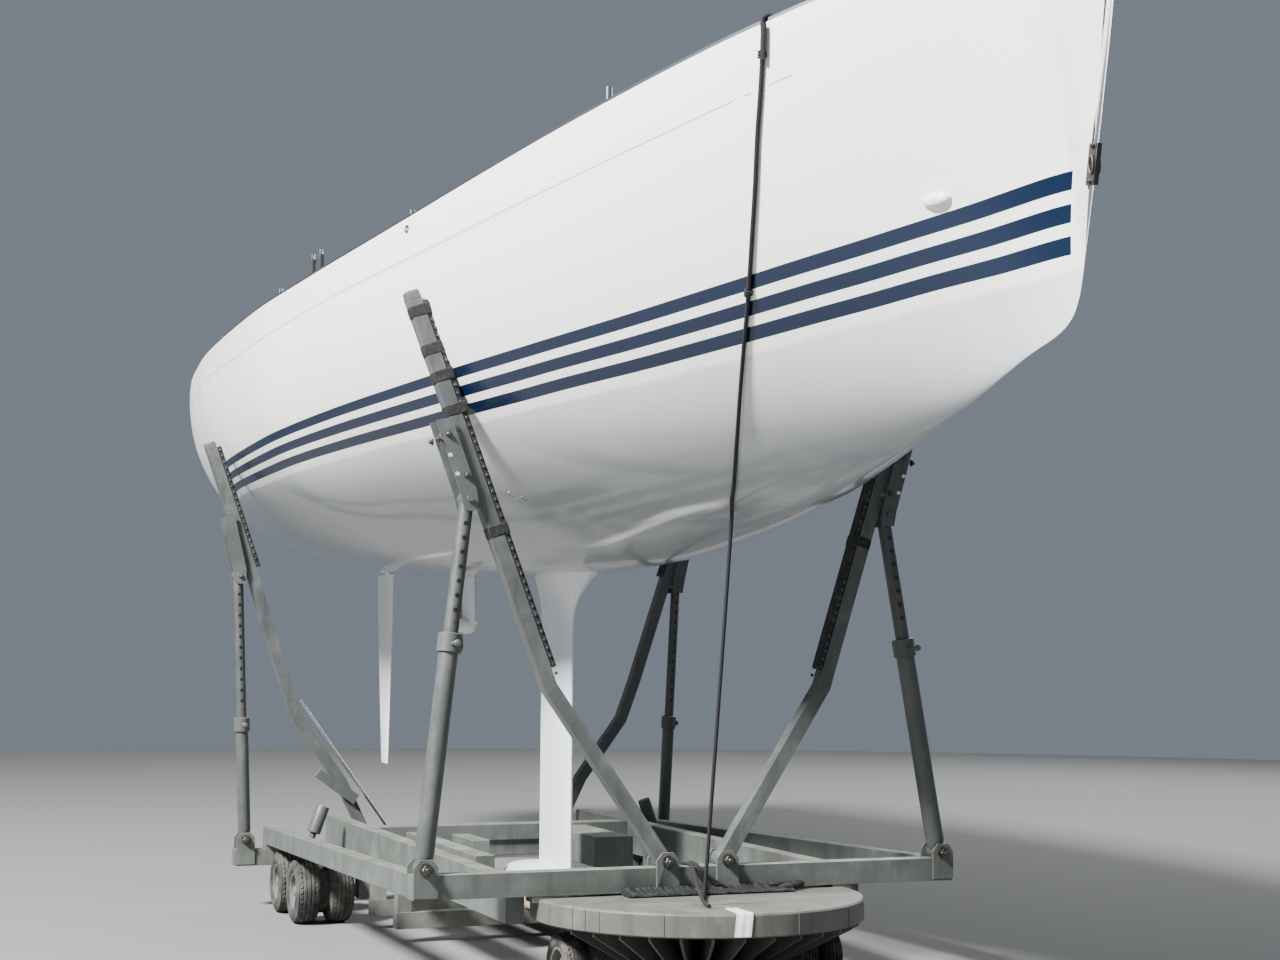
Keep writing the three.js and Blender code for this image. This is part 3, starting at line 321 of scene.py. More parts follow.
class NodeWork:
    """Short calls that add nodes to a material or a group. Each takes sockets or plain values
    and gives back the node's result."""

    def __init__(self, tree):
        """The work goes on in one node tree."""
        self.nodes, self.links = tree.nodes, tree.links

    def feed(self, socket, value):
        """A link where the value is a socket, and otherwise the socket's own value."""
        if isinstance(value, bpy.types.NodeSocket):
            self.links.new(value, socket)
        else:
            socket.default_value = value

    def node(self, kind, *values, **settings):
        """A node of one kind, with its settings and its first inputs fed in order."""
        made = self.nodes.new(f"ShaderNode{kind}")
        for label, setting in settings.items():
            setattr(made, label, setting)
        for socket, value in zip(made.inputs, values):
            self.feed(socket, value)
        return made

    def calc(self, operation, *values, clamp=False):
        """One step of arithmetic."""
        return self.node("Math", *values, operation=operation, use_clamp=clamp).outputs[0]

    def times(self, *values):
        """The first value times the second."""
        return self.calc("MULTIPLY", *values)

    def plus(self, *values):
        """The first value plus the second."""
        return self.calc("ADD", *values)

    def line(self, value, slope, start):
        """The value times a slope, plus a start."""
        return self.calc("MULTIPLY_ADD", value, slope, start)

    def less(self, value):
        """One less the value."""
        return self.calc("SUBTRACT", 1.0, value)

    def largest(self, first, *others):
        """The largest of some values."""
        for other in others:
            first = self.calc("MAXIMUM", first, other)
        return first

    def mix(self, share, first, second):
        """The first colour, with a share of the second."""
        made = self.node("Mix", data_type="RGBA")
        for place, value in ((0, share), (6, first), (7, second)):
            self.feed(made.inputs[place], value)
        return made.outputs[2]

    def step(self, value, low, high):
        """0 below low and 1 above high, with an eased rise between."""
        made = self.node("MapRange", interpolation_type="SMOOTHSTEP")
        for label, limit in (("Value", value), ("From Min", low), ("From Max", high)):
            self.feed(made.inputs[label], limit)
        return made.outputs["Result"]

    def between(self, value, low, high, blur):
        """1 between two levels, with each edge eased over twice the blur."""
        return self.times(self.step(value, low - blur, low + blur),
                          self.less(self.step(value, high - blur, high + blur)))

    def noise(self, vector, scale, detail=4, roughness=0.55):
        """Fractal noise of 0 to 1 with the given number of grains to the metre."""
        made = self.node("TexNoise", vector)
        for label, value in (("Scale", scale), ("Detail", detail), ("Roughness", roughness)):
            made.inputs[label].default_value = value
        return made.outputs["Fac"]

    def stretch(self, vector, scale):
        """The vector times a scale for each axis."""
        return self.node("VectorMath", vector, scale, operation="MULTIPLY").outputs[0]

    def split(self, vector):
        """The vector's X, Y and Z."""
        return self.node("SeparateXYZ", vector).outputs

    def effect(self, group, **values):
        """A group with its own values, and its outputs."""
        made = self.node("Group", node_tree=group)
        for label, value in values.items():
            self.feed(made.inputs[label.replace("_", " ")], value)
        return made.outputs


class Effect(NodeWork):
    """A shader group that several materials use. An input with no start value is a vector, all
    others and all outputs are numbers."""

    def __init__(self, name, inputs, outputs):
        """A new group with its named sockets."""
        self.group = bpy.data.node_groups.new(name, "ShaderNodeTree")
        sockets = self.group.interface
        for label, start in inputs.items():
            kind = "NodeSocketVector" if start is None else "NodeSocketFloat"
            socket = sockets.new_socket(name=label, in_out="INPUT", socket_type=kind)
            if start is not None:
                socket.default_value = start
        for label in outputs:
            sockets.new_socket(name=label, in_out="OUTPUT", socket_type="NodeSocketFloat")
        super().__init__(self.group)
        self.given = self.nodes.new("NodeGroupInput").outputs
        self.results = self.nodes.new("NodeGroupOutput").inputs

    def give(self, **values):
        """Links each result to the output of its name."""
        for label, value in values.items():
            self.feed(self.results[label], value)


class Finish(NodeWork):
    """A material with its Principled shader, the object's own coordinates and its normal."""

    def __init__(self, name, roughness=0.5, metallic=0.0):
        """A new material with two of the shader's own values."""
        self.made = bpy.data.materials.new(name)
        self.made.use_nodes = True
        super().__init__(self.made.node_tree)
        self.shader = self.nodes["Principled BSDF"]
        self.set(Roughness=roughness, Metallic=metallic)
        own = self.node("TexCoord").outputs
        self.place, self.normal = own["Object"], own["Normal"]

    def set(self, **values):
        """Feeds the shader's own sockets."""
        for label, value in values.items():
            self.feed(self.shader.inputs[label.replace("_", " ")], value)

    def relief(self, height, strength, distance):
        """A Bump node that feeds the shader's Normal."""
        made = self.node("Bump")
        for label, value in (("Strength", strength), ("Distance", distance), ("Height", height)):
            self.feed(made.inputs[label], value)
        self.set(Normal=made.outputs["Normal"])

    def surface_map(self):
        """The mesh's own UV map."""
        return self.node("UVMap", uv_map="surface").outputs["UV"]

    def field(self, label):
        """One of the mesh's own measures."""
        return self.node("Attribute", attribute_name=label).outputs["Fac"]


def plait_effect():
    """Two families of slanted strands: the wave of u * strands + v * pitch and its mirror."""
    plait = Effect("plait", {"UV": None, "Strands": 8.0, "Pitch": 60.0}, ("Height", "Fleck"))
    flat = plait.split(plait.given["UV"])
    around = plait.times(flat["X"], plait.given["Strands"])
    along = plait.times(flat["Y"], plait.given["Pitch"])
    waves = [plait.calc("SINE", plait.times(plait.calc(operation, around, along), 2 * math.pi))
             for operation in ("ADD", "SUBTRACT")]
    grain = plait.noise(plait.stretch(plait.given["UV"], (40, 160, 1)), 3.0)
    plait.give(Height=plait.largest(*waves), Fleck=plait.step(grain, 0.55, 0.75))
    return plait.group


def rope_finish(name, base, fleck, strands, pitch):
    """Plaited cover with pale worn flecks, on the rope's own UV map. The low places between the
    strands are darker: painted shade.
    """
    rope = Finish(name, roughness=0.88)
    weave = rope.effect(plait_effect(), UV=rope.surface_map(), Strands=strands, Pitch=pitch)
    shade = rope.step(weave["Height"], -0.6, 0.9)
    # Painted shade: the strands' low places take a darker colour.
    colour = rope.mix(shade, shaded(base, 0.45), base)
    rope.set(Base_Color=rope.mix(rope.times(weave["Fleck"], 0.5), colour, fleck))
    rope.relief(weave["Height"], 0.8, 0.002)
    return rope


def lashing_route():
    """Over the rail, down the hull at a rope's clearance, free to the beam and onto the disc."""
    top_x = lashing_on_hull[0, 1]
    rail_z = float(sheer_z(top_x)) + rail_over_deck + rope_radius
    over = [(top_x, inboard - float(half_beam(top_x)), rail_z + drop)
            for inboard, drop in ((0.074, -0.006), (0.012, 0), (-0.014, -0.016))]
    drop = np.linspace(0, lashing_on_hull[-1, 0], 60)
    bearing, _ = hull_side(fair(lashing_on_hull, drop, 1), lashing_top - drop, -1,
                           rope_radius + 0.002)
    return np.concatenate([over, bearing, lashing_end])


def coil(route, height, turns, reference=(0.3, -1, 0.2)):
    """A tight binding: a ring of 1.5 rope radii round the rope that climbs one strand a turn."""
    at = int(np.argmin(np.abs(route[:, 2] - height)))
    heading = route[at + 1] - route[at]
    heading /= np.linalg.norm(heading)
    across = np.cross(heading, reference)
    across /= np.linalg.norm(across)
    outward = np.cross(across, heading)
    turn = np.linspace(0, 2 * math.pi * turns, int(16 * turns))[:, None]
    strand = 0.62 * rope_radius
    ring = 1.5 * rope_radius * (across * np.cos(turn) + outward * np.sin(turn))
    climb = heading * (turn / (2 * math.pi) - turns / 2) * 1.9 * strand
    return tube(route[at] + climb + ring, strand, 10, reference=tuple(heading))


def make_lashing():
    """The long rope, a second strand beside it round the upper knot, the turns and the knots."""
    slanted = (0.3, -1, 0.2)
    route = evened(rounded(lashing_route(), 2), 0.03)
    low, high = doubled_heights
    beside = route[(route[:, 2] > low) & (route[:, 2] < high)] + doubled_offset
    shapes = [tube(strand, rope_radius, 14, slanted) for strand in (route, beside)]
    shapes += [tube(evened(rounded(turn, 3), 0.01), rope_radius, 14, (0.2, 1, 0.3))
               for turn in beam_turns]
    shapes += [coil(route, height, 2.5) for height in (upper_knot, lower_knot)]
    navy_plait = rope_finish("dark_rope", tone(34, 31, 38), tone(92, 88, 96), 6.0, 40.0)
    piece("bow_lashing_rope", shapes, "hull_and_frame", "dark_rope", navy_plait,
          ["bow_lashing"], sharp=60)


make_lashing()


# Transporter steel: box beams and plates, welded and painted grey-green, with scuffs, rust at
# the edges and dust. Each beam is the frame's own shape with its edges rounded as rolled steel.
body_of_node = {node: body for body, members in frame["record"]["behaviour"]["bodies"].items()
                for node in members}
pad_top, pad_y, pad_half_width, pad_shift = 0.552, 0.745, 0.06, 0.095
front_arm_x, front_foot_z, front_pin_z, front_lean = 2.341, 0.694, 2.545, 0.08
front_arm_half, cheek_low, cheek_high, cheek_ease, cheek_shift = 0.058, 2.4, 3.05, 0.2, 0.05


def wear_effect():
    """Chips where fine noise passes a level, rust in their middle, broad stains and drips."""
    wear = Effect("steel_wear", {"Vector": None, "Chips": 0.5},
                  ("Chip", "Rust", "Stain", "Drip", "Height"))
    vector = wear.given["Vector"]
    drawn = wear.noise(wear.stretch(vector, (11, 11, 1.1)), 1.0, 5, 0.65)
    fine = wear.noise(vector, 26.0, 5, 0.62)
    broad = wear.noise(vector, 2.3, 3, 0.5)
    mixed = wear.plus(fine, wear.times(broad, 0.35))
    level = wear.calc("SUBTRACT", 0.98, wear.times(wear.given["Chips"], 0.1))
    above = wear.calc("SUBTRACT", mixed, level)
    chip = wear.step(above, 0.0, 0.015)
    grain = wear.noise(vector, 420.0, 2, 0.5)
    wear.give(Chip=chip, Rust=wear.step(above, 0.012, 0.05),
              Stain=wear.step(wear.noise(vector, 5.5, 6, 0.66), 0.42, 0.72),
              Drip=wear.step(drawn, 0.46, 0.74),
              Height=wear.calc("SUBTRACT", wear.times(grain, 0.25), chip))
    return wear.group


def dust_effect():
    """Dust lies where the object's own normal points up, broken by noise, and thickens low down."""
    dust = Effect("road_dust", {"Vector": None, "Normal": None, "Amount": 0.5,
                                "Splash height": 0.5}, ("Dust",))
    vector = dust.given["Vector"]
    flat = dust.step(dust.split(dust.given["Normal"])["Z"], 0.45, 0.98)
    height = dust.calc("DIVIDE", dust.split(vector)["Z"], dust.given["Splash height"])
    low = dust.calc("SUBTRACT", 1.0, height, clamp=True)
    patchy = dust.step(dust.noise(vector, 7.0, 5, 0.6), 0.35, 0.75)
    lying = dust.times(flat, dust.plus(patchy, 0.35))
    splashed = dust.times(low, dust.plus(patchy, 0.2))
    total = dust.largest(lying, splashed)
    dust.give(Dust=dust.calc("MULTIPLY", total, dust.given["Amount"], clamp=True))
    return dust.group


steel_wear, road_dust = wear_effect(), dust_effect()


def painted_steel(name, paint, chips=0.5, dust=0.45, splash=0.5):
    """Satin paint with light and dark stains, drips, bare chips, brown rust and pale dust."""
    steel = Finish(name, roughness=0.55)
    wear = steel.effect(steel_wear, Vector=steel.place, Chips=chips)
    lying = steel.effect(road_dust, Vector=steel.place, Normal=steel.normal, Amount=dust,
                         Splash_height=splash)["Dust"]
    colour = steel.mix(wear["Stain"], paint, shaded(paint, 1.4))
    colour = steel.mix(steel.times(wear["Drip"], 0.45), colour, shaded(paint, 0.38))
    colour = steel.mix(wear["Chip"], colour, tone(126, 120, 108))
    colour = steel.mix(wear["Rust"], colour, tone(86, 54, 36))
    colour = steel.mix(lying, colour, tone(150, 146, 134))
    rough = steel.line(wear["Stain"], 0.18, 0.42)
    rough = steel.calc("ADD", rough, steel.times(lying, 0.35), clamp=True)
    steel.set(Base_Color=colour, Roughness=rough)
    steel.relief(wear["Height"], 0.35, 0.0012)
    return steel


frame_paint = painted_steel("frame_paint", tone(88, 93, 88), dust=0.4)
arm_paint = painted_steel("arm_paint", tone(78, 81, 80), chips=0.35, dust=0.2, splash=0.2)


def softened(node, width, finish, slot, segments=2, moved=None):
    """The node's own shape: a copy with its triangles merged into flat faces, whose edges
    sharper than 28 degrees are rolled over by a bevel of the given width. A moving function
    may first give the copy's points new places."""
    mesh = frame["nodes"][node].data.copy()
    if moved:
        points = np.empty(3 * len(mesh.vertices))
        mesh.vertices.foreach_get("co", points)
        mesh.vertices.foreach_set("co", moved(points.reshape(-1, 3)).ravel())
    work = bmesh.new()
    work.from_mesh(mesh)
    bmesh.ops.remove_doubles(work, verts=work.verts, dist=2e-5)
    bmesh.ops.dissolve_limit(work, angle_limit=math.radians(0.6), verts=work.verts,
                             edges=work.edges)
    work.to_mesh(mesh)
    work.free()
    made = placed(f"{node}_finished", mesh, body_of_node[node], slot, finish)
    edges = rolled(made, width, segments)
    edges.angle_limit = math.radians(28)
    edges.harden_normals = True
    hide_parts(node)


def pads_apart(points):
    """The two wear pads under the front beam stand further out than in the frame."""
    on_pad = (points[:, 2] < pad_top) & (np.abs(np.abs(points[:, 1]) - pad_y) < pad_half_width)
    points[:, 1] += pad_shift * on_pad * np.sign(points[:, 1])
    return points


def cheeks_outboard(points):
    """The cheek plates lean out with the arm, by a shift that grows from nothing at the pin. They
    are what stands further than the arm's half thickness off the leaning plane of the arms."""
    off_plane = points[:, 0] - front_arm_x + front_lean * (points[:, 2] - front_foot_z)
    near = (points[:, 2] > cheek_low) & (points[:, 2] < cheek_high)
    on_cheek = near & (np.abs(off_plane) > front_arm_half)
    rise = np.clip((points[:, 2] - front_pin_z) / cheek_ease, 0, 1)
    points[:, 1] += cheek_shift * rise * on_cheek * np.sign(points[:, 1])
    return points


softened("front_beam", 0.006, frame_paint, "grey_paint", moved=pads_apart)
for node in ("aft_beam", "side_beam_port", "side_beam_starboard", "wheel_carrier_port",
             "wheel_carrier_starboard", "keel_cross_fore", "keel_cross_mid", "frame_cross"):
    softened(node, 0.006, frame_paint, "grey_paint")
for side in ("port", "starboard"):
    softened(f"front_arm_{side}", 0.006, arm_paint, "grey_paint", moved=cheeks_outboard)
    softened(f"aft_arm_{side}", 0.008, arm_paint, "grey_paint")


# Keel plank: one broad length of weathered softwood, laid loose on the cross members under the
# bulb, with its grain along the boat and its edges worn round.
def mottled(name, base, worn, patches, roughness, metallic=0.0, relief=None, fine=None,
            gloss_change=0.0, stretch=(1, 1, 1)):
    """A finish whose colour goes from the base to the worn one where noise passes two levels.
    patches gives the noise's scale and detail and the levels, relief the strength and distance
    of the bump, and fine the scale and detail of its own noise. The roughness may follow the
    patches, with the gloss change between the smoothest and the roughest place."""
    made = Finish(name, roughness, metallic)
    scale, detail, low, high = patches
    patch = made.noise(made.stretch(made.place, stretch), scale, detail)
    made.set(Base_Color=made.mix(made.step(patch, low, high), base, worn))
    if gloss_change:
        made.set(Roughness=made.line(patch, gloss_change, roughness - gloss_change / 2))
    if relief:
        made.relief(made.noise(made.place, *fine) if fine else patch, *relief)
    return made


weathered_softwood = mottled("weathered_softwood", tone(120, 104, 82), tone(186, 168, 138),
                             (2.2, 6, 0.3, 0.7), 0.8, relief=(0.5, 0.002), stretch=(1.2, 26, 26))
softened("keel_plank", 0.005, weathered_softwood, "timber")


# Clevis pins: zinc-plated steel, one through the foot of each arm and each strut, with a
# washer, a nut and the threaded end on both sides. The nuts are rusty where the zinc is gone.
pole = 0.001
clevis_pins = {
    # x of the beam, the distances of the arm's and the strut's pin from the centre plane, height
    "front": (front_arm_x, (0.168, 1.45), front_foot_z),
    "aft": (-1.999, (0.72, 1.585), 0.47),
}
clevis_half, pin_nut_size = 0.0735, 0.027
both_sides = (("port", 1), ("starboard", -1))


def turned(profile, origin, axis, sides=32, ends="pointed"):
    """A profile of (radius, height) pairs turned about an axis through the origin. Pointed ends
    run straight in to the axis, flat ones are closed by one face each, and joined ones meet and
    leave the bore open."""
    profile = np.asarray(profile, float)
    if ends == "joined":
        profile = np.concatenate([profile, profile[:1]])
    elif ends == "pointed":
        profile = np.concatenate([[(pole, profile[0, 1])], profile, [(pole, profile[-1, 1])]])
    axis = np.asarray(axis, float) / np.linalg.norm(axis)
    helper = np.array([0, 0, 1.0]) if abs(axis[2]) < 0.9 else np.array([1.0, 0, 0])
    first = np.cross(helper, axis)
    first /= np.linalg.norm(first)
    second = np.cross(axis, first)
    angle = np.linspace(0, 2 * math.pi, sides, endpoint=False)
    around = np.cos(angle)[:, None] * first + np.sin(angle)[:, None] * second
    points = (np.asarray(origin, float) + profile[:, None, 1:] * axis
              + profile[:, None, :1] * around[None])
    return grid(points, capped=ends != "joined")


def nut(place, axis, size):
    """A washer, a hexagon and a domed bolt end, turned from shares of the size."""
    parts = (((1.25, 0), (1.25, 0.16)), 20), (((1, 0.16), (1, 0.9), (0.86, 1)), 6), \
        (((0.5, 1), (0.5, 1.45), (0.42, 1.55)), 14)
    return [turned(size * np.array(profile), place, axis, sides) for profile, sides in parts]


zinc_bolts = mottled("zinc_bolts", tone(96, 96, 94), tone(74, 58, 48), (60.0, 4, 0.45, 0.62),
                     0.45, 0.85)
pin_nuts = []
for x, distances, z in clevis_pins.values():
    for y in distances:
        for side in (-1, 1):
            for facing in (-1, 1):
                pin_nuts += nut((x + facing * clevis_half, side * y, z), (facing, 0, 0),
                                pin_nut_size)
piece("pin_nuts", pin_nuts, "hull_and_frame", "grey_paint", zinc_bolts)


# Turntable: a thick round steel plate on radial gussets over the axle box of the steered wheels,
# with a towing bar ahead, weld seams on its edge and a white plastic sheet folded over it. Under
# the front beam lies a black rubber mat, wrinkled, with a bundled end to port.
disc_middle, disc_radius, disc_low, disc_top = (2.391, 0.0), 0.8625, 0.414, 0.532
fin_bearings = np.concatenate([np.arange(-70, 71, 10.5), [150, 180, 210]])
axle_height, box_low, bar_reach, bar_height = 0.18, 0.13, (2.451, 3.62), (0.165, 0.221)
eye_place = (3.681, 0.0, 0.193)
fin_half_thickness, box_half_length, box_half_width, bar_half_width = 0.007, 0.08, 0.49, 0.055
stub_radius, stub_from, stub_length = 0.024, 0.48, 0.23
seam_bearings = (-67.6, -61.8, -55.9, -33.5, 12.0, 38.0, 74.0, 131.0, 175.0, 222.0)
sheet_from, sheet_to = -10.3, -4.8
mat_from, mat_to = -0.425, 0.5
bundle = (
    # the lumps at the mat's end: x, y, z and half length
    (2.44, 0.46, 0.566, 0.07), (2.47, 0.5, 0.556, 0.06), (2.43, 0.56, 0.562, 0.04))
bundle_radius = 0.02
disc_paint = painted_steel("disc_paint", tone(90, 91, 85), chips=0.75, dust=0.12, splash=0.2)
# The parts under the plate take a darker grey than the plate's paint: painted shade under the disc,
# on top of the paint's own wear and dust.
underframe_paint_with_painted_shade = painted_steel("underframe_paint_with_painted_shade", tone(66, 69, 66), dust=0.2, splash=0.3)


def block(middle, axes, halves):
    """A box whose corners are the middle plus and minus each half size along its own axis."""
    signs = np.array([(a, b, c) for a in (-1, 1) for b, c in ((-1, -1), (1, -1), (1, 1), (-1, 1))])
    points = np.asarray(middle) + (signs * np.asarray(halves)) @ np.asarray(axes, float)
    return grid(points.reshape(2, 4, 3), capped=True)


def on_disc(bearing, reach, height):
    """A place by its bearing round the king post, its distance from it and its height."""
    turn = np.radians(bearing)
    return np.stack(np.broadcast_arrays(disc_middle[0] + reach * np.cos(turn),
                                        disc_middle[1] + reach * np.sin(turn), height), -1)


def make_turntable():
    """A turned plate, fins that taper to the axle, the axle box with its stubs, bar and eye."""
    rim = disc_radius - 0.024
    plate = turned([(disc_radius - 0.012, disc_low), (disc_radius, disc_low + 0.008),
                    (disc_radius, disc_top - 0.012), (disc_radius - 0.008, disc_top - 0.003),
                    (rim, disc_top)], (*disc_middle, 0), (0, 0, 1), 160)
    outline = np.array([(0.05, disc_low + 0.002), (rim, disc_low + 0.002), (rim, disc_low - 0.02),
                        (0.36, 0.15), (0.05, 0.15)])
    under = []
    for bearing in fin_bearings:
        turn = math.radians(bearing)
        across = np.array([-math.sin(turn), math.cos(turn), 0]) * fin_half_thickness
        flat = on_disc(bearing, outline[:, 0], outline[:, 1])
        under.append(grid(np.stack([flat - across, flat + across]), capped=True))
    box_middle = (disc_middle[0], 0, (box_low + disc_low) / 2)
    under.append(block(box_middle, np.eye(3),
                       (box_half_length, box_half_width, (disc_low - box_low) / 2)))
    under += [turned([(stub_radius, 0), (stub_radius, stub_length)],
                     (disc_middle[0], side * stub_from, axle_height), (0, side, 0), 24)
              for side in (-1, 1)]
    bar_middle = (sum(bar_reach) / 2, 0, sum(bar_height) / 2)
    bar_halves = ((bar_reach[1] - bar_reach[0]) / 2, bar_half_width,
                  (bar_height[1] - bar_height[0]) / 2)
    under.append(block(bar_middle, np.eye(3), bar_halves))
    under.append(turned([(0.042, -0.03), (0.088, -0.03), (0.092, -0.026), (0.092, 0.026),
                         (0.088, 0.03), (0.042, 0.03)], eye_place, (0, 0, 1), 40, ends="joined"))
    piece("turntable_plate", [plate], "turntable", "grey_paint", disc_paint, ["turntable"])
    piece("turntable_underframe", under, "turntable", "grey_paint", underframe_paint_with_painted_shade,
          ["turntable"], roll=(0.002,))


def make_seams():
    """Flat blocks that stand half their width out of the plate's edge at each bearing."""
    shapes = []
    for bearing in seam_bearings:
        turn = math.radians(bearing)
        axes = ((math.cos(turn), math.sin(turn), 0), (-math.sin(turn), math.cos(turn), 0),
                (0, 0, 1))
        middle = on_disc(bearing, disc_radius, (disc_low + disc_top) / 2)
        shapes.append(block(middle, axes, (0.003, 0.004, (disc_top - disc_low) / 2 - 0.01)))
    piece("turntable_seams", shapes, "turntable", "grey_paint", disc_paint)


def make_sheet():
    """An L in radius and height, 2 mm thick and a little wavy, swept round its bearings. Its
    bearing shifts by 5 degrees a metre inwards and by 7 degrees a metre down."""
    fold = np.array([(-0.2, 0), (-0.12, 0), (-0.06, 0), (-0.006, 0), (0.002, -0.004),
                     (0.004, -0.012), (0.004, -0.06), (0.005, -0.11)]) + (disc_radius, 0)
    inner = fold[::-1] + np.array([(-0.001, 0.0003)])
    loop = np.concatenate([fold + np.array([(0.0012, 0.0022)]), inner])
    reach, height = loop[None, :, 0], loop[None, :, 1]
    bearing = np.linspace(sheet_from, sheet_to, 24)[:, None]
    inwards = disc_radius - reach
    skew = np.where(inwards > 0.02, inwards * -5.0, height * 7.0)
    wave = 0.0009 * np.sin(bearing * 2.3 + reach * 31) + 0.0009
    hanging = height < -0.003
    points = on_disc(bearing + skew, reach + wave * hanging, disc_top + height + wave * ~hanging)
    plastic = Finish("white_plastic_sheet", 0.38)
    plastic.set(Base_Color=tone(232, 236, 242))
    piece("turntable_sheet", [grid(points, capped=True)], "turntable", "grey_paint", plastic)


def rubber_finish(name, base, scale=14.0):
    """Dark rubber with greyed, worn patches."""
    return mottled(name, base, shaded(base, 2.2, 0.02), (scale, 5, 0.45, 0.8), 0.75,
                   relief=(0.3, 0.002))


def make_mat():
    """A closed strip outline in x and z carried along y, with three sine waves as wrinkles, and
    ellipsoids for the bundle: rings of the radius times sqrt(1.02 - s^2), s from -1 to 1."""
    loop = np.array([(2.402, 0.566), (2.41, 0.571), (2.424, 0.565), (2.445, 0.557), (2.48, 0.552),
                     (2.53, 0.5455), (2.533, 0.539), (2.48, 0.5365), (2.43, 0.537), (2.408, 0.54)])
    y = np.linspace(mat_from, mat_to, 140)[:, None]
    wrinkle = (np.sin(y * 61) + 0.7 * np.sin(y * 113 + 1.1) + 0.6 * np.sin(y * 211 + 2.2)) / 2.3
    outer = np.array([0, 1, 1, 1, 1, 0.4, 0, 0, 0, 0])[None]
    x = loop[None, :, 0] + outer * 0.009 * wrinkle
    z = loop[None, :, 1] + outer * 0.006 * wrinkle
    shapes = [grid(np.stack([x, np.broadcast_to(y, x.shape), z], -1), capped=True)]
    for x, y, z, half in bundle:
        spine = evened([(x, y - half, z), (x, y + half, z)], half / 9)
        lump = carried(ring_profile(1.0, 16), spine)
        middle = lump.mean(axis=1, keepdims=True)
        share = np.linspace(-1, 1, len(lump))[:, None, None]
        round_off = bundle_radius * np.sqrt(np.maximum(1.02 - share**2, 0))
        shapes.append(grid(middle + (lump - middle) * round_off, capped=True))
    piece("beam_mat", shapes, "hull_and_frame", "black_rubber",
          rubber_finish("mat_rubber", tone(17, 17, 19)), sharp=50)


make_turntable()
make_seams()
make_sheet()
make_mat()


# Yacht hull: a moulded shell of white gelcoat with three navy stripes, a fine cove line under
# the sheer, and grey-white bottom paint below. The deck is part of the same moulding, with the
# cockpit's seats, foot well, helm area and locker wells sunk into it.
stripe_heights = np.array([
    # x, top edge of the upper stripe, bottom edge of the lower stripe
    [-6.16, 3.215, 3.075], [-4.8, 3.185, 3.034], [-2.85, 3.163, 2.987], [-1.45, 3.163, 2.962],
    [-0.6, 3.164, 2.954], [0.45, 3.188, 2.969], [1.05, 3.201, 2.977], [2.6, 3.237, 3.007],
    [3.0, 3.249, 3.02], [3.6, 3.274, 3.04], [4.4, 3.325, 3.084], [4.9, 3.37, 3.121],
    [5.35, 3.417, 3.158], [5.6, 3.444, 3.17], [5.93, 3.48, 3.186], [6.15, 3.504, 3.196],
])
stripe_shares = ((0.0, 0.225), (0.385, 0.61), (0.775, 1.0))
stripe_end_rake, stripe_end_x = -0.154, 5.398
paint_edge = (-0.24, -0.16)
cove_heights = np.array([
    [-6.16, 3.83], [-4.0, 3.775], [-1.9, 3.755], [-0.8, 3.74], [0.86, 3.79], [2.0, 3.826],
    [2.86, 3.868], [4.06, 3.956], [4.633, 4.014], [4.929, 4.052], [5.2, 4.09],
])
cove_spans = ((-9.0, 4.633), (4.682, 4.724), (4.816, 4.929))
cockpit_cuts = [
    # x from aft, x to, inner and outer distance from the centre plane, floor height
    (-4.119, -1.669, 0.0, 1.15, 3.74),
    (-5.469, -1.819, 0.0, 0.47, 3.35),
    (-5.469, -4.119, 0.0, 1.23, 3.48),
    (-3.719, -2.319, 0.69, 1.04, 3.43),
]
moulding_radius, stem_length = 0.018, 0.62


def deck_z(x, y):
    """The sheer plus a crown that falls from the middle to the edge as 1 - (y / half beam)^2."""
    rise = deck_crown * np.minimum(1, half_beam(x) / 0.9)
    return sheer_z(x) + rise * (1 - (y / half_beam(x)) ** 2)


def cut_lines(edges):
    """Grid lines just before, at and just after each edge of a sunk area."""
    steps = np.array([-0.6, -0.3, -0.1, 0.1, 0.3, 0.6]) * moulding_radius
    return (np.asarray(edges)[:, None] + steps).ravel()


def eased(value):
    """The smooth step 3 u^2 - 2 u^3 of a value held between 0 and 1."""
    u = np.clip(value, 0, 1)
    return 3 * u**2 - 2 * u**3


def sunk(x, y, z):
    """The lowest of the surface and each cut's floor, with walls that ease over the radius."""
    lowest, side = z, np.abs(y)
    for x0, x1, inner, outer, floor in cockpit_cuts:
        depth = 1.0
        for inward in (x - x0, x1 - x, outer - side) + ((side - inner,) if inner > 0 else ()):
            depth = depth * eased(inward / moulding_radius + 0.5)
        lowest = np.minimum(lowest, z + (floor - z) * depth)
    return lowest


def hull_rows():
    """Even steps along the length, closer at the stem, with lines at the cockpit's edges."""
    stem = bow_x - stem_length * np.linspace(0, 1, 56) ** 1.3
    body = np.linspace(bow_x - stem_length, transom_x, 176)[1:]
    edges = cut_lines([cut[0] for cut in cockpit_cuts] + [cut[1] for cut in cockpit_cuts])
    return np.unique(np.concatenate([stem, body, edges]).round(5))[::-1]


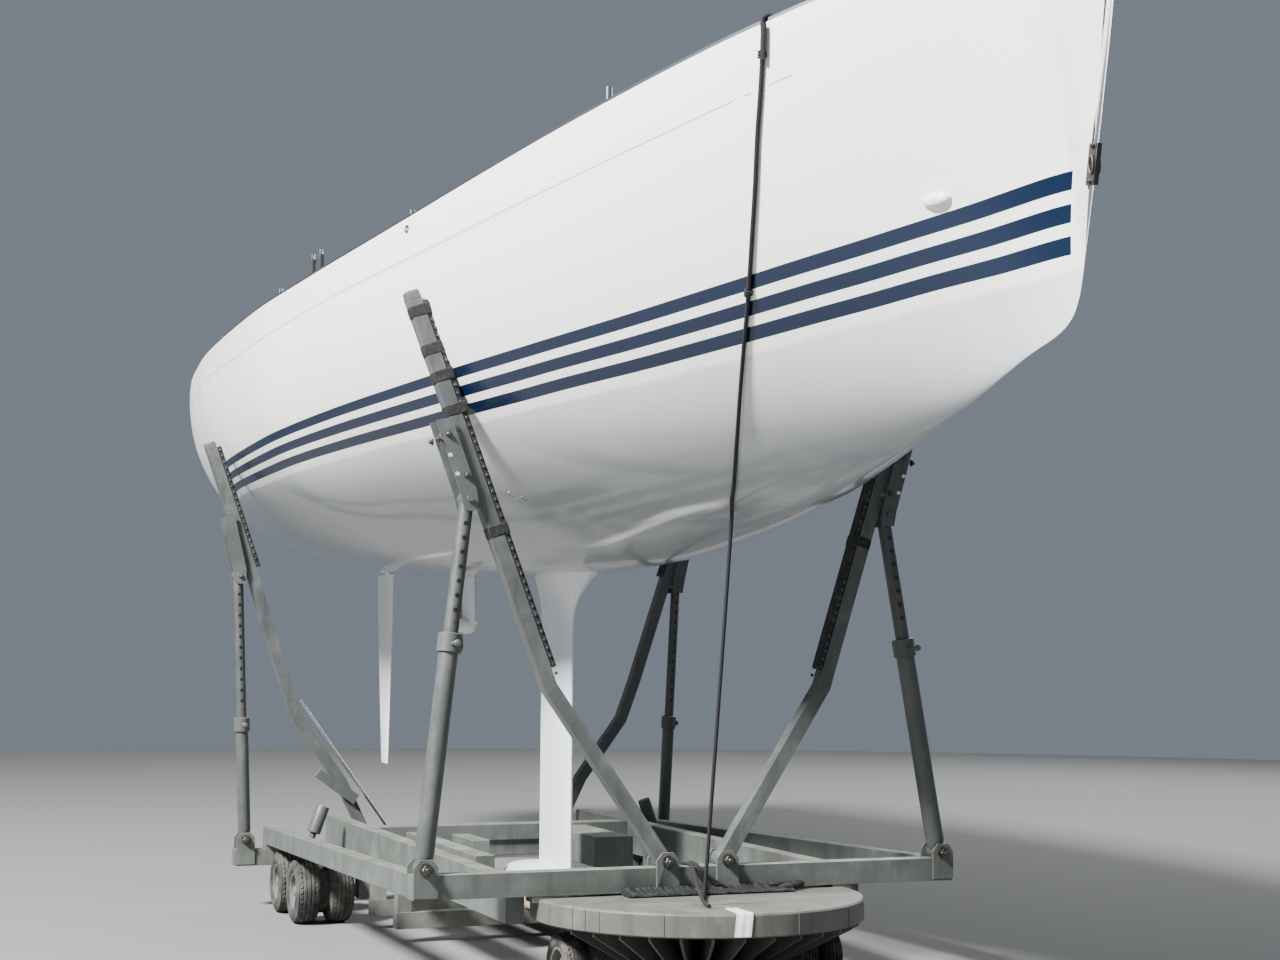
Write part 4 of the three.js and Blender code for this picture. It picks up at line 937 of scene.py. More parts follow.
def make_hull():
    """Sides: z = keel + t * (sheer - keel) with t = v^2.1, and y from the half breadth. Deck:
    straight rows across, crowned, then sunk where the cockpit is. The ends are flat faces."""
    rows = hull_rows()
    v = np.linspace(0, 1, 96)
    girth = np.concatenate([-v[::-1], v[1:]])
    x = rows[:, None].repeat(len(girth), 1)
    t = np.abs(girth)[None] ** 2.1
    z = keel_z(x) + t * (sheer_z(x) - keel_z(x))
    y = np.sign(girth)[None] * half_breadth(x, z)
    shell = np.stack([x, y, z], -1)

    inner = np.unique(np.concatenate([np.linspace(0, 1.26, 15),
                                      cut_lines([0.47, 0.69, 1.04, 1.15, 1.23])]).round(5))
    narrowing = np.minimum(1, half_beam(rows) / 1.5)[:, None]
    outer_share = np.linspace(0, 1, 12)[1:]
    inner_y = inner[None] * narrowing
    edge_y = inner_y[:, -1:] + outer_share[None] * (half_beam(rows)[:, None] - inner_y[:, -1:])
    one_side = np.concatenate([inner_y, edge_y], 1)
    deck_y = np.concatenate([-one_side[:, ::-1], one_side[:, 1:]], 1)
    deck_x = rows[:, None].repeat(deck_y.shape[1], 1)
    deck = np.stack([deck_x, deck_y, sunk(deck_x, deck_y, deck_z(deck_x, deck_y))], -1)

    shapes = [grid(shell, wrap=False), grid(deck, wrap=False)]
    for row in (0, -1):
        outline = np.concatenate([shell[row], deck[row][::-1][1:-1]])
        shapes.append({"points": outline, "quads": np.empty((0, 4), int),
                       "ends": [np.arange(len(outline))], "uv": np.zeros((len(outline), 2))})
    return build("hull_shell", shapes, weld=2e-5)


def measure_hull(mesh):
    """Three measures on the hull's points: the share of the height between the stripes' edges,
    the height over the cove line, and the share of the half beam from the edge inwards."""
    places = np.empty(len(mesh.vertices) * 3)
    mesh.vertices.foreach_get("co", places)
    x, y, z = places.reshape(-1, 3).T
    top, bottom = fair(stripe_heights, x, 1), fair(stripe_heights, x, 2)
    measures = {"stripe": (z - bottom) / (top - bottom), "over_cove": z - fair(cove_heights, x, 1),
                "inboard": 1 - np.abs(y) / half_beam(x)}
    for label, values in measures.items():
        layer = mesh.attributes.new(label, "FLOAT", "POINT")
        layer.data.foreach_set("value", values.astype(np.float32))


def deck_faces(mesh):
    """1 for the faces of the deck moulding: those that look up above 3.3 m, and all that stand
    20 mm inside the hull's sides there, forward of the transom."""
    normals, middles = np.empty(len(mesh.polygons) * 3), np.empty(len(mesh.polygons) * 3)
    mesh.polygons.foreach_get("normal", normals)
    mesh.polygons.foreach_get("center", middles)
    x, y, z = middles.reshape(-1, 3).T
    high = z > 3.3
    looks_up = (normals.reshape(-1, 3)[:, 2] > 0.35) & high
    sunk_walls = (np.abs(y) < half_breadth(x, z) - 0.02) & high & (x > -5.6)
    return (looks_up | sunk_walls).astype(np.int32)


def streak_effect():
    """Rain streaks: noise that is stretched downwards, and smudges without direction."""
    rain = Effect("rain_streaks", {"Vector": None}, ("Streak", "Smudge"))
    vector = rain.given["Vector"]
    drawn = rain.noise(rain.stretch(vector, (9, 9, 0.7)), 2.0, 5, 0.6)
    rain.give(Streak=rain.step(drawn, 0.5, 0.82),
              Smudge=rain.step(rain.noise(vector, 1.7, 6, 0.62), 0.42, 0.78))
    return rain.group


rain_streaks = streak_effect()


def topsides_finish():
    """Gloss gelcoat above the paint edge, satin bottom paint below, and the painted stripes.
    The bottom paint is darker where the object's own normal points down: painted shade on the
    underside."""
    side = Finish("gelcoat_and_stripes", roughness=0.2)
    stripe, where = side.field("stripe"), side.split(side.place)
    rain = side.effect(rain_streaks, Vector=side.place)

    bands = side.largest(*[side.between(stripe, low, high, 0.004) for low, high in stripe_shares])
    raked = side.line(where["Z"], stripe_end_rake, where["X"])
    bands = side.times(bands, side.calc("LESS_THAN", raked, stripe_end_x))

    cove = side.calc("ABSOLUTE", side.field("over_cove"))
    spans = side.largest(*[side.times(side.calc("GREATER_THAN", where["X"], low),
                                      side.calc("LESS_THAN", where["X"], high))
                           for low, high in cove_spans])
    cove_line = side.times(side.less(side.step(cove, 0.0022, 0.004)), spans)

    ragged = side.calc("SUBTRACT", side.noise(side.place, 6.0, 4), 0.5)
    bottom = side.less(side.step(side.plus(stripe, side.times(ragged, 0.12)), *paint_edge))
    white = side.mix(side.times(rain["Streak"], 0.1), tone(251, 250, 246), tone(228, 224, 214))
    paint = side.mix(side.times(rain["Smudge"], 0.45), tone(222, 225, 228), tone(200, 203, 206))
    # Painted shade: the bottom paint goes darker where the object's own normal points down.
    facing_down = side.times(side.split(side.normal)["Z"], -1.0)
    underside_painted_shade = side.times(side.step(facing_down, 0.45, 0.92), 0.8)
    paint = side.mix(underside_painted_shade, paint, tone(122, 126, 131))
    colour = side.mix(bottom, white, paint)
    colour = side.mix(bands, colour, tone(9, 26, 50))
    colour = side.mix(side.times(cove_line, 0.75), colour, tone(120, 122, 128))
    rough = side.line(bottom, -0.1, 0.2)
    side.set(Base_Color=colour, Roughness=side.line(rain["Smudge"], 0.06, rough))
    ripple, peel = side.noise(side.place, 1.1, 2), side.noise(side.place, 240.0, 2)
    side.relief(side.line(peel, 0.03, ripple), 0.05, 0.01)
    return side


def deck_finish():
    """White deck with a fine non-skid grain away from its smooth edges."""
    deck = Finish("deck_moulding", roughness=0.35)
    grip = deck.step(deck.field("inboard"), 0.06, 0.065)
    grain = deck.node("TexVoronoi", deck.place)
    grain.inputs["Scale"].default_value = 260
    stain = deck.step(deck.noise(deck.place, 2.2, 6), 0.45, 0.8)
    colour = deck.mix(grip, tone(236, 235, 230), tone(214, 214, 209))
    colour = deck.mix(deck.times(stain, 0.5), colour, tone(190, 184, 168))
    deck.set(Base_Color=colour, Roughness=deck.line(grip, 0.4, 0.25))
    deck.relief(deck.times(grain.outputs["Distance"], grip), 0.4, 0.002)
    return deck


hull_mesh = make_hull()
measure_hull(hull_mesh)
hull_shell = placed("hull_shell", hull_mesh, "hull_and_frame", "white_gelcoat",
                    topsides_finish(), deck_finish(), sharp=50)
hull_mesh.polygons.foreach_set("material_index", deck_faces(hull_mesh))
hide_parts("hull")


# Keel, rudder and drive: a cast fin with a wide root fairing and a long bulb, a balanced spade
# rudder and a saildrive leg, all under the same grey-white bottom paint with handling scuffs.
fin_levels = np.array([
    # height, how far the root reaches ahead of the fin, thickness
    [0.37, 0.0, 0.122], [1.9, 0.0, 0.122], [1.98, 0.004, 0.126], [2.06, 0.04, 0.15],
    [2.15, 0.15, 0.21], [2.24, 0.32, 0.33], [2.33, 0.455, 0.5], [2.42, 0.56, 0.62],
])
fin_lead_x, fin_chord = 0.406, 0.61
bulb_fullness = np.array([[0, 0.02], [0.012, 0.3], [0.06, 0.6], [0.14, 0.84], [0.26, 0.98],
                          [0.42, 1.0], [0.6, 0.88], [0.78, 0.6], [0.92, 0.3], [1, 0.1]])
bulb_nose_x, bulb_length, bulb_z, bulb_half_width, bulb_half_height = 0.551, 1.46, 0.345, 0.18, 0.11
stock_x, blade_top, blade_span = -4.369, 2.462, 1.602


def bottom_finish():
    """Smudged satin paint with road dust on what faces up and low down."""
    paint = Finish("bottom_paint", roughness=0.3)
    smudge = paint.effect(rain_streaks, Vector=paint.place)["Smudge"]
    dust = paint.effect(road_dust, Vector=paint.place, Normal=paint.normal, Amount=0.25,
                        Splash_height=0.6)["Dust"]
    colour = paint.mix(paint.times(smudge, 0.5), tone(232, 234, 237), tone(206, 209, 212))
    paint.set(Base_Color=paint.mix(dust, colour, tone(176, 170, 158)))
    paint.relief(paint.noise(paint.place, 90.0, 4, 0.6), 0.18, 0.003)
    return paint


bottom_paint = bottom_finish()


def foil(lead, chord, thickness, z, count=44):
    """A foil section at a height: the half width over the chord share u is 2.6 times the
    thickness times the usual four-digit polynomial, and both sides meet at the edges."""
    angle = np.linspace(0, math.pi, count)
    u = (1 - np.cos(angle)) / 2
    half = 2.6 * thickness * (0.2969 * np.sqrt(u) - 0.126 * u - 0.3516 * u**2
                              + 0.2843 * u**3 - 0.1015 * u**4)
    x = np.concatenate([lead - chord * u, (lead - chord * u)[-2:0:-1]])
    y = np.concatenate([half, -half[-2:0:-1]])
    return np.stack([x, y, np.full(len(x), z)], -1)


def fin_shape():
    """Foil sections from the bulb to the hull, whose chord grows by 1.4 times the root's reach."""
    heights = np.concatenate([np.linspace(0.37, 1.9, 12), np.linspace(1.93, 2.42, 34)])
    reach, thickness = fair(fin_levels, heights, 1), fair(fin_levels, heights, 2)
    rings = [foil(fin_lead_x + ahead, fin_chord + 1.4 * ahead, thick, z)
             for z, ahead, thick in zip(heights, reach, thickness)]
    return [grid(np.stack(rings), capped=True)]


def bulb_shape():
    """Elliptical rings whose fullness follows a table along the length, lower at both ends."""
    share = np.linspace(0, 1, 72) ** 1.25
    full = np.clip(fair(bulb_fullness, share, 1), 0.02, 1)[:, None]
    angle = np.linspace(0, 2 * math.pi, 56, endpoint=False)[None]
    y = bulb_half_width * full * np.cos(angle)
    z = bulb_z - (1 - full) * 0.0264 + bulb_half_height * full**0.7 * np.sin(angle)
    x = np.broadcast_to(bulb_nose_x - bulb_length * share[:, None], y.shape)
    return [grid(np.stack([x, y, z], -1), capped=True)]


def blade_shape():
    """Foil sections from the bearing to the tip, whose chord falls as the share^1.2, and the
    stock above them."""
    share = np.linspace(0, 1, 26)
    rings = [foil(stock_x + 0.24 * chord, chord, 0.092 * (1 - 0.55 * s), blade_top - blade_span * s,
                  32) for s, chord in zip(share, 0.56 - 0.34 * share**1.2)]
    stock = turned([(0.034, 0), (0.034, 0.077)], (stock_x, 0, blade_top - 0.06), (0, 0, 1))
    return [grid(np.stack(rings), capped=True), stock]


for name, shapes, body, node in (("keel_fin_faired", fin_shape(), "hull_and_frame", "keel_fin"),
                                 ("keel_bulb_cast", bulb_shape(), "hull_and_frame", "keel_bulb"),
                                 ("rudder_blade", blade_shape(), "rudder", "rudder")):
    piece(name, shapes, body, "bottom_paint", bottom_paint, [node])
for node in ("rudder_bearing", "sail_drive"):
    softened(node, 0.003, bottom_paint, "bottom_paint")


# Propeller: a cast bronze hub with its blades, keyed to the shaft of the drive, dull from the
# water and not polished.
def metal_finish(name, base, roughness):
    """Brushed or cast metal: a fine grain in its relief, and dull places by broad noise."""
    return mottled(name, base, shaded(base, 0.72), (7.0, 4, 0.35, 0.7), roughness, 1.0,
                   (0.12, 0.0008), fine=(300.0, 3), gloss_change=0.22)


softened("propeller", 0.002, metal_finish("dull_bronze", tone(164, 128, 78), 0.42), "bronze")


# Struts: telescopic steel tubes with a row of pin holes, drawn as dots of painted shade, in the
# thinner upper tube, a collar with a turning handle, and an eye at each end that sits on the clevis
# pins.
strut_facts = {
    # upper pin's distance and height, lean, thick and thin radius, share of length at the collar
    "front": ((1.21, front_pin_z), front_lean, (0.05, 0.038), 0.59),
    "aft": ((1.678, 2.32), 0.0, (0.044, 0.034), 0.42),
}
hole_spacing, hole_radius, holes_from, holes_to = 0.075, 0.0125, 0.12, 1.1
thin_girth = 0.238


def holed_paint():
    """Painted tube with round pin holes drawn as near-black dots of painted shade at even steps
    along V and at two places around U, on the tube's own UV map."""
    paint = painted_steel("holed_tube_paint", tone(70, 73, 71), chips=0.35, dust=0.2, splash=0.2)
    flat = paint.split(paint.surface_map())

    def off_middle(value):
        """How far the value is from the middle of its whole step, -0.5 to 0.5."""
        return paint.calc("SUBTRACT", paint.calc("FRACT", value), 0.5)

    wide = paint.times(off_middle(paint.times(flat["X"], 2.0)), thin_girth / 2)
    steps = paint.calc("DIVIDE", flat["Y"], hole_spacing)
    long = paint.times(off_middle(steps), hole_spacing)
    far = paint.calc("SQRT", paint.plus(paint.calc("POWER", wide, 2.0),
                                        paint.calc("POWER", long, 2.0)))
    hole = paint.less(paint.step(far, hole_radius - 0.001, hole_radius + 0.001))
    span = paint.times(paint.calc("GREATER_THAN", flat["Y"], holes_from),
                       paint.calc("LESS_THAN", flat["Y"], holes_to))
    painted = paint.shader.inputs["Base Color"].links[0].from_socket
    # Painted shade: a near-black dot stands in for each pin hole, with no hole cut.
    paint.set(Base_Color=paint.mix(paint.times(hole, span), painted, tone(22, 22, 22)))
    return paint


def leaned(end, distance, height, side):
    """A place in the plane of a pair of arms, which leans aft by a share of the height."""
    x, _, foot_z = clevis_pins[end]
    lean = strut_facts[end][1]
    return np.array([x - lean * (height - foot_z), side * distance, height])


def make_strut(end, label, side, holed):
    """Turned tubes, eyes and handle between the strut's foot and its pin on the arm."""
    x, (_, foot), foot_z = clevis_pins[end]
    pin, _, (thick, thin), share = strut_facts[end]
    start, stop = np.array([x, side * foot, foot_z]), leaned(end, *pin, side)
    full = float(np.linalg.norm(stop - start))
    along = (stop - start) / full
    middle = full * share
    handle_at = start + along * (middle + 0.02)
    shapes = [
        turned([(pole, 0.02), (thick * 0.72, 0.02), (thick, 0.06), (thick, middle),
                (thin + 0.003, middle), (thin + 0.003, middle - 0.02)], start, along, 48, "flat"),
        turned([(thick + 0.001, middle - 0.03), (thick + 0.012, middle - 0.026),
                (thick + 0.012, middle + 0.066), (thick + 0.006, middle + 0.07),
                (thin + 0.002, middle + 0.07)], start, along, 48, "flat"),
        turned([(0.011, thick * 0.9), (0.011, 0.15), (0.013, 0.152), (0.013, 0.168),
                (pole, 0.17)], handle_at, (1, 0, 0), 16),
        turned([(0.0135, 0.0), (0.0185, 0.004), (0.0135, 0.008)], handle_at + (0.15, 0, 0),
               (1, 0, 0), 16, "flat")]
    shapes += [turned([(0.0175, -0.056), (0.036, -0.056), (0.038, -0.052), (0.038, 0.052),
                       (0.036, 0.056), (0.0175, 0.056)], place, (1, 0, 0), ends="flat")
               for place in (start, stop)]
    node = f"{end}_strut_{label}"
    piece(f"{node}_lower", shapes, "hull_and_frame", "grey_paint", arm_paint, [node])
    upper = start + along * np.linspace(middle, full - 0.02, 12)[:, None]
    piece(f"{node}_upper", [tube(upper, thin, 48, reference=(1, 0, 0))], "hull_and_frame",
          "grey_paint", holed, [node])


holed_tube = holed_paint()
for end in ("front", "aft"):
    for label, side in both_sides:
        make_strut(end, label, side, holed_tube)


# Arms: a black rubber strip on the hull side of each upper reach, held by a row of round-headed
# bolts, a block as the head, black tape bands on the front arms, and bolted cheek plates whose
# drilled holes are drawn as pale discs of painted light.
upper_reach = {
    # from and to as distance and height
    "front": ((0.783, 1.592), (1.496, 3.595)),
    "aft": ((1.58, 2.33), (1.898, 3.225)),
}
strip_bolt_spacing = 0.045
tape_heights = (3.519, 3.322, 3.182, 3.006, 2.382)
cheek_bolts = ((0.017, 0.12), (0.113, 0.33))
cheek_holes = ((0.068, 0.125), (0.105, 0.221))
cheek_half, cheek_nut_size = 0.071, 0.014
edge_nut_place, edge_nut_half, edge_nut_size = (1.37, 2.845), 0.065, 0.015
head_halves, tape_halves, tape_offset = (0.03, 0.0385, 0.041), (0.031, 0.0565, 0.0425), 0.016
strip_bolt_offset, strip_half_width = 0.053, 0.0355


def arm_axes(end, side):
    """Start, finish, and the three directions of an upper reach: along, to the hull, forward."""
    start, stop = [leaned(end, *spot, side) for spot in upper_reach[end]]
    along = (stop - start) / np.linalg.norm(stop - start)
    forward = np.array([1.0, 0, 0]) - along[0] * along
    forward /= np.linalg.norm(forward)
    return start, stop, np.stack([along, -side * np.cross(along, forward), forward])


def make_arm_details(end, label, side):
    """A block at the arm's end, and bolt heads at even steps on both edges of the strip."""
    start, stop, axes = arm_axes(end, side)
    along, to_hull, forward = axes
    piece(f"{end}_arm_head_{label}", [block(stop + along * 0.004, axes, head_halves)],
          "hull_and_frame", "grey_paint", arm_paint, roll=(0.014, 3))
    bolts = []
    for reach in np.arange(0.05, np.linalg.norm(stop - start) - 0.02, strip_bolt_spacing):
        for facing in (-1, 1):
            spot = (start + along * reach + to_hull * strip_bolt_offset
                    + forward * facing * strip_half_width)
            bolts.append(turned([(0.009, 0), (0.0085, 0.004), (0.005, 0.006), (pole, 0.0065)],
                                spot, forward * facing, 12))
    piece(f"{end}_strip_bolts_{label}", bolts, "hull_and_frame", "black_rubber", zinc_bolts)


def make_tape(label, side, finish):
    """A thin box round the front arm at each tape's height."""
    start, stop, axes = arm_axes("front", side)
    shapes = [block(start + (stop - start) * (height - start[2]) / (stop[2] - start[2])
                    + axes[1] * tape_offset, axes, tape_halves) for height in tape_heights]
    piece(f"arm_tape_{label}", shapes, "hull_and_frame", "black_rubber", finish, roll=(0.006, 2))


def make_cheek_details(label, side, hole_light):
    """Nuts on both cheek plates at each bolt, and the drilled holes as pale discs of painted light,
    flush with them.
    """
    pin = strut_facts["front"][0]
    nuts, holes = [], []
    for facing in (-1, 1):
        axis = (facing, 0, 0)
        for outboard, rise in cheek_bolts:
            spot = leaned("front", pin[0] + outboard, pin[1] + rise, side)
            nuts += nut(spot + np.multiply(axis, cheek_half), axis, cheek_nut_size)
        for outboard, rise in cheek_holes:
            spot = leaned("front", pin[0] + outboard, pin[1] + rise, side)
            holes.append(turned([(0.012, -0.001), (0.012, 0.0006)],
                                spot + np.multiply(axis, cheek_half), axis, 24))
        nuts += nut(leaned("front", *edge_nut_place, side) + (facing * edge_nut_half, 0, 0),
                    (0, side, 0), edge_nut_size)
    piece(f"cheek_nuts_{label}", nuts, "hull_and_frame", "grey_paint", zinc_bolts)
    piece(f"cheek_holes_{label}", holes, "hull_and_frame", "grey_paint", hole_light)


pad_rubber = rubber_finish("pad_rubber", tone(30, 31, 34))
black_tape = rubber_finish("black_tape", tone(20, 21, 24), 40.0)
# Painted light: pale discs stand in for the light seen through the drilled holes.
hole_light = Finish("light_through_holes", 0.6)
hole_light.set(Base_Color=tone(206, 208, 208))
for end in ("front", "aft"):
    for label, side in both_sides:
        softened(f"{end}_arm_pad_{label}", 0.006, pad_rubber, "black_rubber")
        make_arm_details(end, label, side)
for label, side in both_sides:
    make_tape(label, side, black_tape)
    make_cheek_details(label, side, hole_light)


# By the aft arms: a thin bright brace rod and a small box plate to starboard, and on each side
# the grey hydraulic cylinder that leans against the wheel carrier. All hang on the frame.
brace_ends = ((-1.93, -1.231, 1.439), (-1.93, -0.487, 0.405))
box_plate = ((-1.107, 0.903), (-1.07, 0.95), (-0.79, 0.765), (-0.83, 0.7))
box_plate_x = (-1.99, -1.925)
cylinder_x, cylinder_top, cylinder_foot = -1.349, (1.17, 0.735), (1.27, 0.45)
stainless = metal_finish("polished_stainless", tone(196, 198, 200), 0.26)


def make_aft_details():
    """A straight tube, a plate between two x, and a turned cylinder and rod on each side."""
    brace = tube(evened(brace_ends, 0.2), 0.011, 16, (1, 0, 0))
    piece("aft_brace_rod", [brace], "hull_and_frame", "grey_paint", stainless)
    plate = np.stack([np.column_stack([np.full(4, x), box_plate]) for x in box_plate_x])
    piece("aft_box_plate", [grid(plate, capped=True)], "hull_and_frame", "grey_paint", arm_paint)
    for label, side in both_sides:
        top, foot = [np.array([cylinder_x, side * y, z]) for y, z in (cylinder_top, cylinder_foot)]
        full = float(np.linalg.norm(foot - top))
        barrel = full * 0.6
        rod = turned([(0.042, 0), (0.045, 0.006), (0.045, barrel), (0.04, full * 0.62),
                      (0.022, full * 0.62), (0.022, full)], top, foot - top)
        piece(f"wheel_cylinder_{label}", [rod], "hull_and_frame", "grey_paint", arm_paint)


make_aft_details()


# Wheels: twin rubber tyres on a pressed steel rim with a bolted hub, on stub axles. The bogie
# wheels under the turntable are smaller, and have their rims in the same node as their tyres.
tyre_facts = {"radius": 0.208, "width": 0.165, "step": 0.225, "rim": 0.122, "bore": 0.0343}
bogie_facts = {"radius": 0.18, "width": 0.12, "step": 0.14, "rim": 0.1116, "bore": 0.0243}
twin_wheel_x, twin_wheel_y, bogie_wheel_y = {"fore": -1.049, "aft": -1.649}, 1.24, 0.64
tread_depth, tread_sides = 0.007, 144
tread_grooves = np.array([-0.48, -0.17, 0.17, 0.48])
hub_nuts = 6


def tyre_shape(facts, place, offset):
    """One tyre: an arc of wall, shoulder and crown turned about the axle, where the crown sinks
    by the groove's depth at four grooves and, beside them, at even cross cuts."""
    radius, half, rim = facts["radius"], facts["width"] / 2, facts["rim"]
    wall = np.linspace(0, 1, 12)
    outer_wall = np.stack([rim + (radius * 0.955 - rim) * wall,
                           half * (0.8 + 0.2 * np.sin(math.pi * wall**0.8))], -1)
    crown = np.linspace(0.92, -0.92, 41)
    top = radius - 0.018 * radius / 0.2 * np.abs(crown) ** 3
    tread = np.stack([top, crown * half * 0.88], -1)
    profile = np.concatenate([outer_wall, tread, outer_wall[::-1] * np.array([1, -1])])
    reach, across = [profile[:, k:k + 1].repeat(tread_sides, 1) for k in (0, 1)]
    relative = across / half
    ribs = np.min(np.abs(relative[..., None] - tread_grooves), -1) < 0.035
    cuts = (np.abs(relative) > 0.5) & (np.arange(tread_sides)[None] % 4 == 0)
    reach = reach - tread_depth * ((reach > radius * 0.965) & (ribs | cuts))
    angle = np.linspace(0, 2 * math.pi, tread_sides, endpoint=False)
    return grid(np.stack([place[0] + reach * np.cos(angle), place[1] + offset + across,
                          place[2] + reach * np.sin(angle)], -1))


def rim_shapes(facts, place, side):
    """A dished disc with a rolled edge, a hub with a cap, and nuts on a circle."""
    rim, bore = facts["rim"], facts["bore"]
    half = facts["step"] / 2 + facts["width"] * 0.4
    hub = bore + (rim - bore) * 0.42
    axis = (0, side, 0)
    shapes = [
        turned([(bore, -half), (rim - 0.001, -half), (rim - 0.001, half),
                (rim - 0.004, half + 0.002), (rim - 0.014, half), (rim - 0.02, half - 0.05),
                (hub + 0.012, half - 0.062), (hub, half - 0.058), (hub, half - 0.03),
                (bore, half - 0.03)], place, axis, 64, "flat"),
        turned([(bore * 0.96, half - 0.032), (bore * 0.96, half - 0.01),
                (bore * 0.7, half - 0.002), (pole, half)], place, axis)]
    for angle in 2 * math.pi * np.arange(hub_nuts) / hub_nuts + 0.3:
        outwards = np.array([math.cos(angle), 0, math.sin(angle)]) * (hub + bore) / 2
        shapes += nut(place + outwards + (0, side * (half - 0.03), 0), axis, rim * 0.06)
    return shapes


def make_wheel(name, facts, place, side, body, tyre_node, rim_node=None):
    """Two tyres with a neck between them, and the rim."""
    step, rim = facts["step"] / 2, facts["rim"]
    place = np.asarray(place, float)
    tyres = [tyre_shape(facts, place, offset) for offset in (-step, step)]
    tyres.append(turned([(rim - 0.003, -step), (rim + 0.012, -step), (rim + 0.012, step),
                         (rim - 0.003, step)], place, (0, 1, 0), 48, "flat"))
    piece(f"{name}_treaded", tyres, body, "tyre", tyre_rubber, [tyre_node], sharp=30)
    piece(f"{name}_pressed_rim", rim_shapes(facts, place, side), body,
          "grey_paint" if rim_node else "tyre", frame_paint, [rim_node] if rim_node else ())


tyre_rubber = mottled("tyre_rubber", tone(38, 38, 40), tone(88, 84, 78), (11.0, 5, 0.35, 0.7),
                      0.85, relief=(0.25, 0.001), fine=(130.0, 3))
for end, x in twin_wheel_x.items():
    for label, side in both_sides:
        node = f"wheel_{end}_{label}"
        make_wheel(node, tyre_facts, (x, side * twin_wheel_y, tyre_facts["radius"]), side,
                   f"twin_{node}", f"{node}_tyres", f"{node}_rim")
for label, side in both_sides:
    node = f"wheel_bogie_{label}"
    make_wheel(node, bogie_facts, (disc_middle[0], side * bogie_wheel_y, axle_height), side,
               f"bogie_wheels_{label}", node)


# Deckhouse and cockpit gear: a moulded gelcoat house with a raised hatch track, smoke-tinted
# hatches, helm pedestals and locker lids of the same moulding, and stainless wheels and winches.
def gelcoat_finish():
    """Gloss white with faint smudges and a slow ripple."""
    white = Finish("white_gelcoat", roughness=0.22)
    smudge = white.effect(rain_streaks, Vector=white.place)["Smudge"]
    white.set(Base_Color=white.mix(white.times(smudge, 0.25), tone(240, 239, 235),
                                   tone(220, 216, 206)))
    white.relief(white.noise(white.place, 3.0, 2), 0.06, 0.01)
    return white


white_gelcoat = gelcoat_finish()
smoked_acrylic = mottled("smoked_acrylic", tone(34, 40, 46), tone(58, 64, 70), (9.0, 5, 0.4, 0.8),
                         0.1, gloss_change=0.12)
anodised = metal_finish("anodised_aluminium", tone(122, 124, 128), 0.42)
softened("deckhouse", 0.02, white_gelcoat, "white_gelcoat", segments=3)
softened("companion_hatch", 0.006, smoked_acrylic, "tinted_acrylic", segments=3)
softened("fore_hatch_lid", 0.008, smoked_acrylic, "tinted_acrylic", segments=3)
for node in ("fore_hatch_frame", "mast_collar"):
    softened(node, 0.004, anodised, "anodised_aluminium")
for side in ("port", "starboard"):
    softened(f"locker_lid_{side}", 0.006, white_gelcoat, "white_gelcoat", segments=3)
    softened(f"helm_pedestal_{side}", 0.012, white_gelcoat, "white_gelcoat", segments=3)
    softened(f"helm_wheel_{side}", 0.001, stainless, "stainless_steel")
    softened(f"winch_{side}", 0.002, stainless, "stainless_steel")


# Stem: a stainless strip down the stem from the fitting on the deck, and a dark metal bracket
# bolted through it, with a link on each side.
bracket_drop, bracket_aft, bracket_top, strip_top, strip_slimmer = 0.15, 0.031, 3.74, 4.25, 0.3
bracket_middle, bracket_halves = (5.996, 0, 3.494), (0.026, 0.01, 0.074)
bracket_nut_rise, bracket_nut_size = 0.062, 0.009
link_halves, link_radius = (0.012, 0.032), 0.004
stem_axes = np.array([(0.98, 0, -0.2), (0, 1, 0), (0.2, 0, 0.98)])


def bracket_lowered(points):
    """The bracket on the stem sits lower and further aft than in the frame, and the strip over
    it is slimmer than in the frame, up to the fitting on the deck."""
    low = points[:, 2] < bracket_top
    points[:, 2] -= bracket_drop * low
    points[:, 0] -= bracket_aft * low
    points[:, 1] *= np.where(points[:, 2] < strip_top, strip_slimmer, 1.0)
    return points


def make_bracket():
    """A block on the stem's slope, a nut at each corner, and an upright ellipse as each link."""
    x, _, z = bracket_middle
    half = bracket_halves[1]
    shapes = [block(bracket_middle, stem_axes, bracket_halves)]
    turn = np.linspace(0, 2 * math.pi, 33)
    for side in (-1, 1):
        for rise in (-bracket_nut_rise, bracket_nut_rise):
            shapes += nut((x + 0.002 + 0.2 * rise, side * half, z + rise), (0, side, 0),
                          bracket_nut_size)
        link = np.stack([x + 0.004 + link_halves[0] * np.cos(turn),
                         np.full(33, side * (half + 0.005)),
                         z - 0.004 + link_halves[1] * np.sin(turn)], -1)
        shapes.append(tube(link, link_radius, 10, (0, 1, 0)))
    piece("stem_bracket", shapes, "hull_and_frame", "stainless_steel",
          metal_finish("dark_fitting_metal", tone(92, 88, 88), 0.5), roll=(0.004,))


softened("stem_fitting", 0.002, stainless, "stainless_steel", moved=bracket_lowered)
make_bracket()


